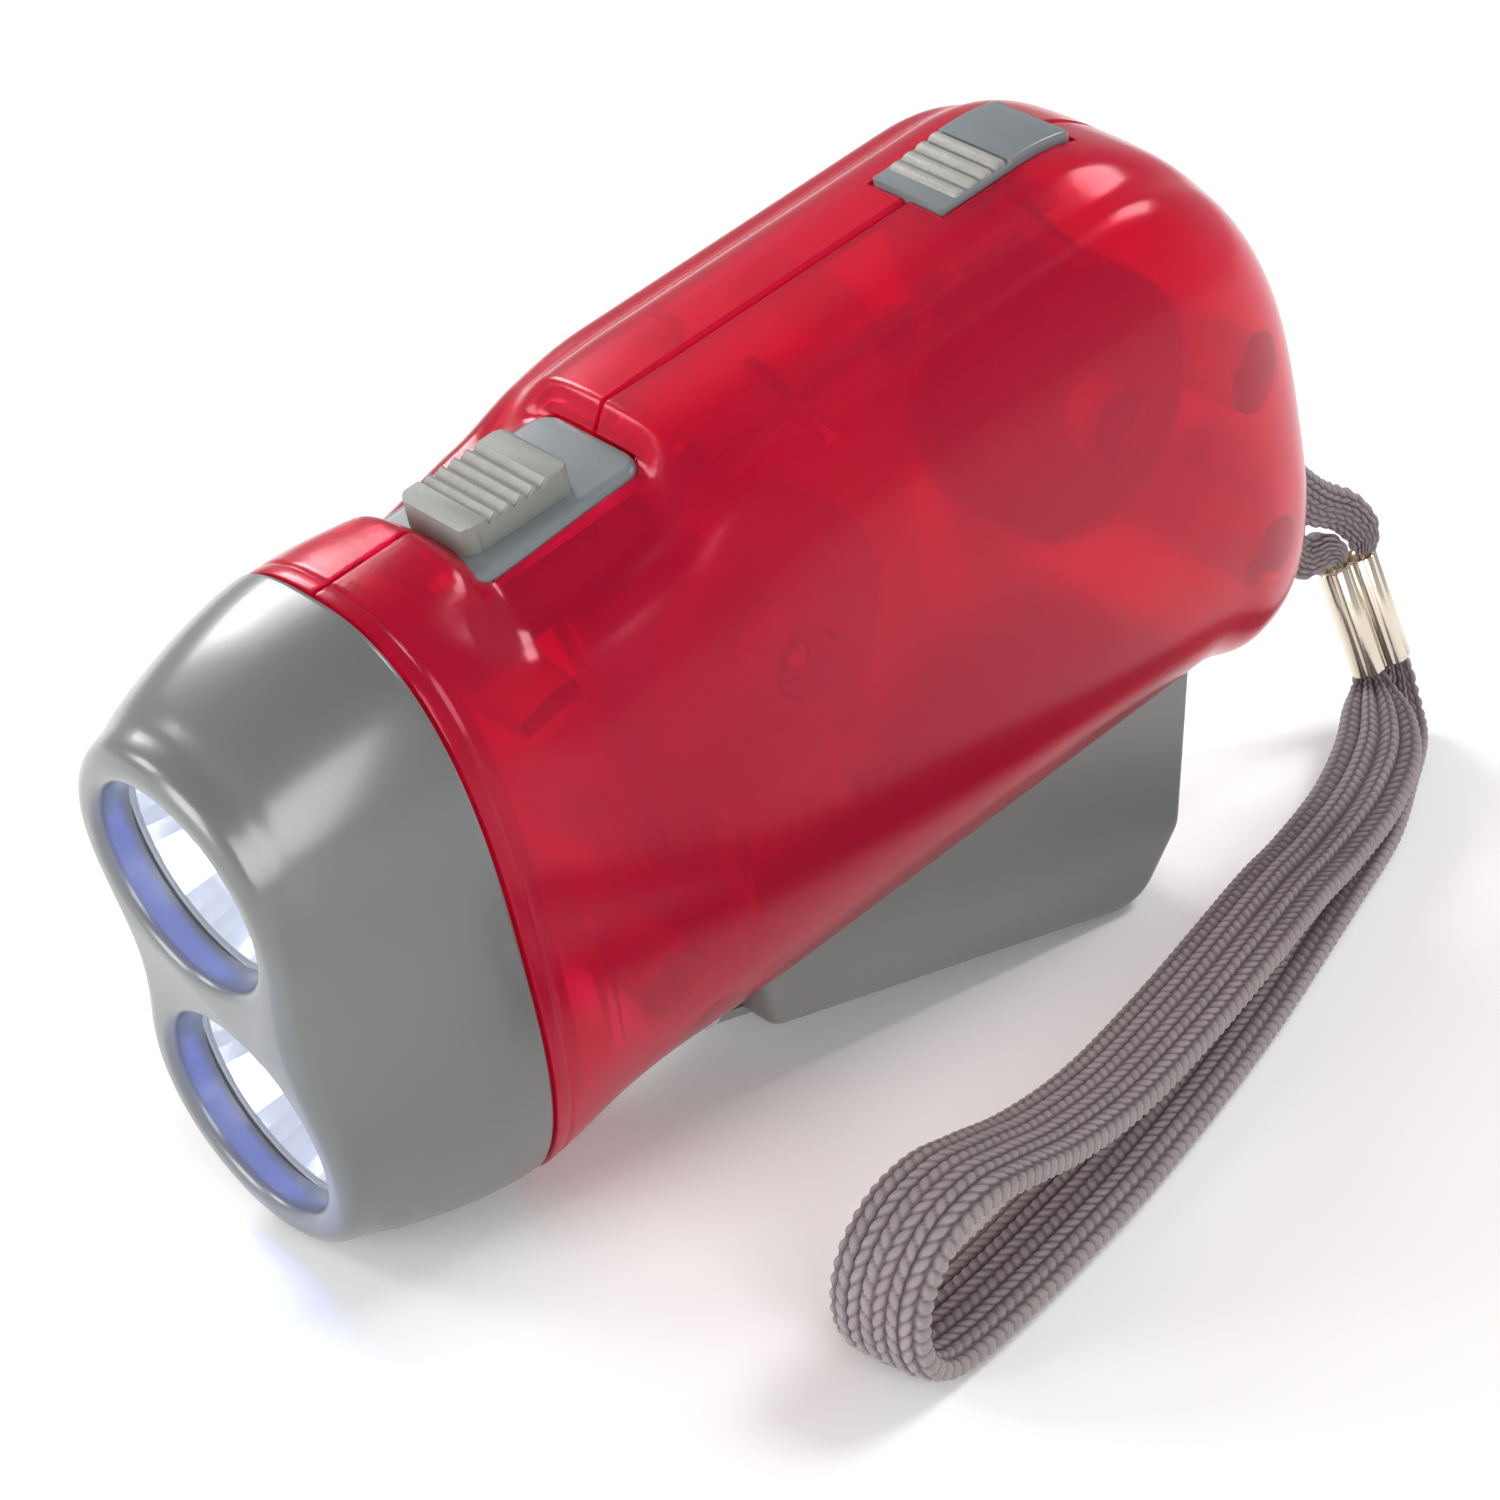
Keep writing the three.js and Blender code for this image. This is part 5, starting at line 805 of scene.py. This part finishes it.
def turned_open(points):
    """Points drawn for the closed lever, turned 20 degrees about the hinge to the open one."""
    c, s = math.cos(math.radians(20)), math.sin(math.radians(20))
    reach = [(x - hinge_x, z - hinge_z) for x, z in points]
    return [(hinge_x + x * c - z * s, hinge_z + x * s + z * c) for x, z in reach]


channel_walls = prism(lever_outline(0.0), -11.4, 11.4, "y", 1.3, 6)
channel = carved(channel_walls, ("DIFFERENCE", prism(lever_outline(1.6, 3.0), -9.8, 9.8)))
tongue_front = hinge_x - 7.0
tongue_under = [(x, sole(x, 0)) for x in (hinge_x, tongue_front)]
tongue = prism(tongue_under + [(x, sole(x, sole_thickness)) for x in (tongue_front, hinge_x)], -7.8, 7.8)
catch = prism(turned_open([(-89.2, -7), (-83.5, -7), (-83.5, -5), (-89.2, -5)]), -3.2, 3.2)
knuckles = [pin(hinge_x, hinge_z, 3.5, 4.8, 7.8), pin(hinge_x, hinge_z, 3.5, -7.8, -4.8)]
# the right wall is cut round the first axle's bearing, which it passes as the lever closes
bearing_x, bearing_z = turned_open([axle_one])[0]
lever = carved(
    channel, ("UNION", tongue), ("UNION", knuckles), ("UNION", tooth_fan()), ("UNION", catch),
    ("DIFFERENCE", [pin(hinge_x, hinge_z, 1.7, -12, 12), pin(bearing_x, bearing_z, 3.0, -12, -8.1)]),
)
show("lever_body", lever, lever_grey, "lever", 34, ["squeeze_lever"])

# Parts inside, as the frame has them, each in its own finish: white gears and plate, steel axles, pins, screws and
# spring, turned flywheel, black magnet, copper winding, coin cells in a black cup, green boards and red wires. Each
# row has what finish_of takes, then how metallic the finish is, then the parts.
for *look, metallic, parts in (
    ("white_plastic", (0.72, 0.71, 0.66), (0.62, 0.61, 0.56), 0.42, 0.1, 90.0, 2000.0, 0.05, 0.0,
     "first_gear second_gear gear_plate coil_bobbin lock_hook"),
    ("black_plastic", (0.018, 0.018, 0.02), (0.03, 0.03, 0.032), 0.45, 0.1, 90.0, 2000.0, 0.08, 0.0,
     "battery_holder switch_nub"),
    ("board_green", (0.02, 0.13, 0.05), (0.015, 0.09, 0.035), 0.4, 0.15, 300.0, 3000.0, 0.1, 0.0,
     "led_board main_board"),
    ("steel", (0.58, 0.58, 0.58), (0.42, 0.42, 0.43), 0.3, 0.15, 300.0, 3000.0, 0.08, 1.0,
     "switch_case lever_pin lever_spring first_axle second_axle flywheel_axle lock_screw battery_cell_1 "
     "battery_cell_2 battery_tab_front battery_tab_rear plate_screw_1 plate_screw_2 plate_screw_3 core_screw_1 "
     "core_screw_2 housing_screw_1 housing_screw_2 housing_screw_3"),
    ("flywheel_steel", (0.30, 0.30, 0.31), (0.2, 0.2, 0.21), 0.4, 0.2, 150.0, 2600.0, 0.15, 1.0, "flywheel"),
    ("core_steel", (0.22, 0.22, 0.23), (0.14, 0.13, 0.13), 0.5, 0.2, 200.0, 2600.0, 0.2, 0.8, "generator_core"),
    ("magnet_black", (0.03, 0.03, 0.033), (0.05, 0.048, 0.045), 0.6, 0.15, 200.0, 2600.0, 0.25, 0.0, "magnet_rotor"),
    ("copper", (0.62, 0.20, 0.07), (0.40, 0.11, 0.04), 0.32, 0.15, 400.0, 4000.0, 0.3, 0.9, "coil_winding"),
    ("brass", (0.70, 0.50, 0.20), (0.52, 0.36, 0.14), 0.3, 0.15, 300.0, 3000.0, 0.08, 1.0, "flywheel_pinion"),
    ("wire_sleeve", (0.35, 0.02, 0.02), (0.25, 0.015, 0.015), 0.4, 0.1, 300.0, 3000.0, 0.08, 0.0,
     "cell_wire generator_wire lamp_wire"),
):
    finish = finish_of(*look, Metallic=metallic)
    for part in parts.split():
        frame["nodes"][part].material_slots[0].material = finish

# Wrist strap: one flat braid of polyester yarn in lengthwise rows of slanted strands, with rolled long edges. It is
# folded once round the tail's post, gathered in the ferrule, and its long loop lies on the table.
def smooth_route(points, steps):
    """Centripetal Catmull-Rom curve through the points: cubic spans whose slopes weigh the neighbouring chords by
    the square roots of their lengths, with steps samples on each span."""
    p = np.asarray(points, float)
    p = np.vstack([2 * p[0] - p[1], p, 2 * p[-1] - p[-2]])
    a, b, c, d = p[:-3], p[1:-2], p[2:-1], p[3:]
    ab, bc, cd = [np.sqrt(np.linalg.norm(v[:, :3] - u[:, :3], axis=1))[:, None] for u, v in ((a, b), (b, c), (c, d))]
    m0 = ((b - a) / ab - (c - a) / (ab + bc) + (c - b) / bc) * bc
    m1 = ((c - b) / bc - (d - b) / (bc + cd) + (d - c) / cd) * bc
    t = (np.arange(steps) / steps)[None, :, None]
    b, c, m0, m1 = b[:, None], c[:, None], m0[:, None], m1[:, None]
    curve = (2 * t**3 - 3 * t**2 + 1) * b + (t**3 - 2 * t**2 + t) * m0
    curve = curve + (3 * t**2 - 2 * t**3) * c + (t**3 - t**2) * m1
    return np.vstack([curve.reshape(-1, p.shape[1]), p[-2]])


def even_route(points, spacing):
    """The smooth route, sampled again at equal distances along its length; returns samples and distances."""
    dense = smooth_route(points, 40)
    along = np.concatenate([[0], np.cumsum(np.linalg.norm(np.diff(dense[:, :3], axis=0), axis=1))])
    count = int(round(along[-1] / spacing)) + 1
    want = np.linspace(0, along[-1], count)
    samples = [np.interp(want, along, column) for column in dense.T]
    return np.stack(samples, axis=1), want


strap_braid = finish_of(
    "strap_braid", (0.275, 0.228, 0.225), (0.205, 0.166, 0.173), 0.75, 0.15, 350.0, 5200.0, 0.5,
    Sheen_Weight=0.3, Sheen_Roughness=0.4,
)
braid_nodes = strap_braid.node_tree
# Painted shade: the yarn's height darkens the colour towards a dark purple in the gaps between strands and in the
# folds.
yarn_read = braid_nodes.nodes.new("ShaderNodeAttribute")
yarn_read.attribute_name = "yarn_height"
yarn_depth = braid_nodes.nodes.new("ShaderNodeMapRange")
fill(yarn_depth, From_Min=0.18, From_Max=0.72, To_Min=0.0, To_Max=1.0)
painted_gap_shade = braid_nodes.nodes.new("ShaderNodeMix")
painted_gap_shade.data_type = "RGBA"
painted_gap_shade.inputs["A"].default_value = (0.055, 0.036, 0.055, 1)
braid_shader = braid_nodes.nodes["Principled BSDF"]
braid_nodes.links.new(braid_shader.inputs["Base Color"].links[0].from_socket, painted_gap_shade.inputs["B"])
join(braid_nodes, (yarn_read, "Fac", yarn_depth, "Value"), (yarn_depth, "Result", painted_gap_shade, "Factor"),
     (painted_gap_shade, "Result", braid_shader, "Base Color"))

# The eye's centre line, in the level torch's millimetres, from inside the ferrule round the post and back.
eye_route = [
    [-118.9, 1.8, -32.7], [-119.4, 1.7, -31.2], [-118.2, 1, -28.3], [-115.2, 0.3, -25.6],
    [-111, 0, -19.2], [-108.3, 0, -14], [-105.9, 0, -12], [-103.2, 0, -11.8], [-101.2, 0, -12.7],
    [-100.4, 0, -14.5], [-101.2, 0, -16.3], [-103.2, 0, -17.2], [-106, 0, -17.5], [-108.6, 0, -20.6],
    [-111, 0, -27.2], [-113.4, 0.2, -30.7], [-115.6, 0.7, -31], [-116.4, 1, -31.8], [-116.5, 1, -32.5],
]
# The loop on the table, in the tipped torch's millimetres: each entry is its centre, half the width, half the
# thickness, and the compass direction in degrees. table_shift brings it into the frame's own place.
loop_route = [
    [-123.2, 3.5, 4.9, 0.9, 0.9, 50], [-122.4, 4.7, 4.1, 1.3, 1, 50], [-120.2, 7.2, 4.1, 2.2, 1.1, 45],
    [-115.5, 11.6, 4.1, 3.3, 1.2, 36], [-108, 16.2, 4.2, 3.9, 1.2, 28], [-98, 20.7, 5, 3.9, 1.2, 25],
    [-90.7, 23.9, 6.3, 3.9, 1.2, 25], [-80, 28.7, 7.6, 3.9, 1.2, 24], [-69, 33.1, 8.2, 3.9, 1.2, 21],
    [-55.7, 37.9, 9.2, 3.9, 1.2, 17], [-46, 40.8, 11, 4, 1.2, 15], [-39.3, 42.6, 13.1, 4.1, 1.2, 13],
    [-33.8, 43.9, 14.4, 4.2, 1.2, 12], [-29.2, 44.8, 13.6, 4.2, 1.2, 11], [-26.4, 45.2, 10.8, 4.2, 1.2, 11],
    [-25.5, 45.4, 7.6, 4.2, 1.2, 11], [-26.2, 45.4, 4.5, 4.2, 1.2, 11], [-28.8, 44.9, 2.1, 4.2, 1.2, 11],
    [-33, 44, 1.4, 4.2, 1.2, 12], [-39.3, 42.6, 1.4, 4.2, 1.2, 14], [-46, 40.8, 1.4, 4.2, 1.2, 16],
    [-55.7, 37.9, 1.4, 4.2, 1.2, 18], [-69, 33.1, 1.4, 4.2, 1.2, 21], [-80, 28.7, 1.4, 4.2, 1.2, 24],
    [-90.7, 23.9, 1.4, 4.2, 1.2, 25], [-99, 20.2, 1.4, 4.1, 1.2, 26], [-108, 16.2, 1.4, 3.9, 1.2, 30],
    [-116, 11.6, 1.4, 3.3, 1.2, 36], [-121.4, 8, 1.5, 2.5, 1.1, 42], [-124.5, 5.6, 2, 1.6, 1, 46],
    [-125.5, 4.6, 3.4, 1.1, 0.9, 50], [-125.6, 4.4, 4.9, 0.9, 0.9, 50],
]
table_x = hinge_row[0] * 1000 - hinge_x * math.cos(tip_angle) - hinge_z * math.sin(tip_angle)
table_shift = np.array([table_x, 0, 0])
row_count, strand_pitch, braid_depth, table_clearance = 8, 1.15, 0.40, 0.05


def braid(name, centres, across, half_widths, half_depths, distances, gathered, around, replaced):
    """A flat tube along centres, whose section is a superellipse of power 3.2. Rows of slanted strands rise on it,
    leaning one way in even rows and the other way in odd ones, so that neighbours make chevrons. Where it is
    gathered, three folds run along it between four ridges. yarn_height is 1 on a strand's back, 0 in the gaps, and
    it is lower across the folds; the material darkens the colour where it is low, which is painted shade."""
    tangent = unit(np.gradient(centres, axis=0))
    across = unit(across - (across * tangent).sum(1)[:, None] * tangent)
    through = np.cross(tangent, across)
    angle = 2 * np.pi * (np.arange(around) + 0.5) / around
    wide = np.arcsin(0.99 * np.cos(angle)) / math.asin(0.99)
    deep = np.sign(np.sin(angle)) * (1 - np.abs(wide) ** 3.2) ** (1 / 3.2)
    # the outermost rows wrap the edges, so the lanes are shifted by half a row
    lane = (wide + 1) / 2 * (row_count - 1) + 0.5
    row, place = np.floor(lane), lane - np.floor(lane)
    lean = np.where(row % 2 == 0, 1, -1) * (place - 0.5) * 0.8
    phase = distances[:, None] / strand_pitch + lean + 0.5 * (row % 2)
    strand = np.abs(np.sin(np.pi * phase)) ** 0.8
    ridge = np.sin(np.pi * place) ** 0.7
    height = ridge * (0.25 + 0.75 * strand)
    folded = gathered[:, None] * (0.5 - 0.5 * np.cos(3 * np.pi * (wide + 1)))
    rise = braid_depth * (height - 0.7) - 0.4 * folded
    # The folds lower yarn_height as well, so they too take the painted shade.
    height = height * (1 - 0.5 * folded)
    sideways = (half_widths[:, None] + rise) * wide
    outward = (half_depths[:, None] + rise) * deep
    points = centres[:, None] + across[:, None] * sideways[..., None] + through[:, None] * outward[..., None]
    points[..., 2] = np.maximum(points[..., 2], table_clearance)
    piece = show(name, tube_of(points), strap_braid, "housing", 60, replaced, seated=False)
    yarn = piece.data.attributes.new("yarn_height", "FLOAT", "POINT")
    yarn.data.foreach_set("value", height.ravel()[:len(yarn.data)])
    return piece


# The loop's two ends go on 4 mm up inside the ferrule, and below it they spread sooner than the route says.
shown_loop = np.array([[-122.4, 2.7, 8.9, 0.9, 0.9, 50], *loop_route, [-124.8, 3.5, 8.9, 0.9, 0.9, 50]])
shown_loop[1:5, 3] = [1.5, 2.1, 3.0, 3.7]
shown_loop[-5:-1, 3] = [3.1, 2.4, 1.9, 1.5]
loop_samples, loop_along = even_route(shown_loop, 0.23)
loop_centres = loop_samples[:, :3] + table_shift
compass = np.radians(loop_samples[:, 5])
level = np.stack([-np.sin(compass), np.cos(compass), np.zeros_like(compass)], axis=1)
from_end = np.minimum(loop_along, loop_along[-1] - loop_along)
gathered = 1 - smooth((from_end - 35) / 40)
loop_width, loop_thickness = loop_samples[:, 3], loop_samples[:, 4]
strap_loop = braid(
    "wrist_loop", loop_centres, level, loop_width, loop_thickness, loop_along, gathered, 96, ["strap_loop"])

eye_samples, eye_along = even_route(eye_route, 0.24)
eye_centres = seat(eye_samples) * 1000
# Its flat side lies round the post and twists 72 degrees on the way to the ferrule.
eye_tangent = unit(np.gradient(eye_centres, axis=0))
post_axis = np.array([0.0, 1.0, 0.0])
twist = math.radians(72) * smooth((-103.8 - eye_samples[:, :1]) / 6)
flat = np.cos(twist) * post_axis + np.sin(twist) * np.cross(eye_tangent, post_axis)
to_end = np.minimum(eye_along, eye_along[-1] - eye_along)
taper = np.interp(to_end, [0, 2.5, 8], [1.0, 1.7, 2.1])
thick = np.interp(to_end, [0, 2.5], [0.9, 1.05])
strap_eye = braid("strap_fold", eye_centres, flat, taper, thick, eye_along, 0 * taper, 64, ["strap_eye"])

# Ferrule: a strip of nickelled brass rolled into two tubes side by side round the four legs of the strap, and
# crimped on them, which leaves lengthwise creases. Its places are in the tipped torch's millimetres.
nickel = finish_of("nickel", (0.80, 0.73, 0.62), (0.66, 0.58, 0.46), 0.20, 0.10, 300.0, 3000.0, 0.03, Metallic=1.0)
ferrule_top = np.array([-122.1, 1, 16.1])
ferrule_bottom = np.array([-124.2, 3.9, 6.1])
ferrule_spread = np.array([-0.94, 0.34, 0.0])
ferrule_radius, ferrule_spacing = 1.6, 2.5


def ferrule():
    """Outline of two touching circles with a folded cleft on each side and lengthwise creases from the crimping,
    carried along the ferrule's axis; the strip's ends are cut square."""
    axis = ferrule_top - ferrule_bottom
    length = np.linalg.norm(axis)
    axis /= length
    spread_axis = unit(ferrule_spread - (ferrule_spread @ axis) * axis)
    facing = np.cross(axis, spread_axis)
    count = 96
    angle = 2 * np.pi * (np.arange(count) + 0.5) / count
    s, c = np.abs(np.sin(angle)), np.abs(np.cos(angle))
    offset = ferrule_spacing / 2
    reach = offset * c + np.sqrt(np.maximum(0, ferrule_radius**2 - (offset * s) ** 2))
    creases = np.array([28, 62, 118, 152, 208, 242, 298, 332])
    from_crease = np.abs(np.degrees(angle)[:, None] - creases).min(axis=1)
    reach = reach - 0.16 * np.exp(-((from_crease / 4.5) ** 2))
    lip = np.array([[1.2, -0.5], [0.1, -0.5], [0.0, -0.4], [0.0, -0.08], [0.08, 0.0], [length / 2, 0.0]])
    profile = np.vstack([lip, [[length - a, r] for a, r in lip[-2::-1]]])
    rings = []
    for along, grow in profile:
        r = reach + grow
        y, x = r * np.sin(angle), r * np.cos(angle)
        rings.append(ferrule_bottom + along * axis + x[:, None] * spread_axis + y[:, None] * facing)
    return np.array(rings)


clip = tube_of(ferrule() + table_shift)
strap_clip = show("strap_clip", clip, nickel, "housing", 40, ["strap_ferrule"], seated=False)
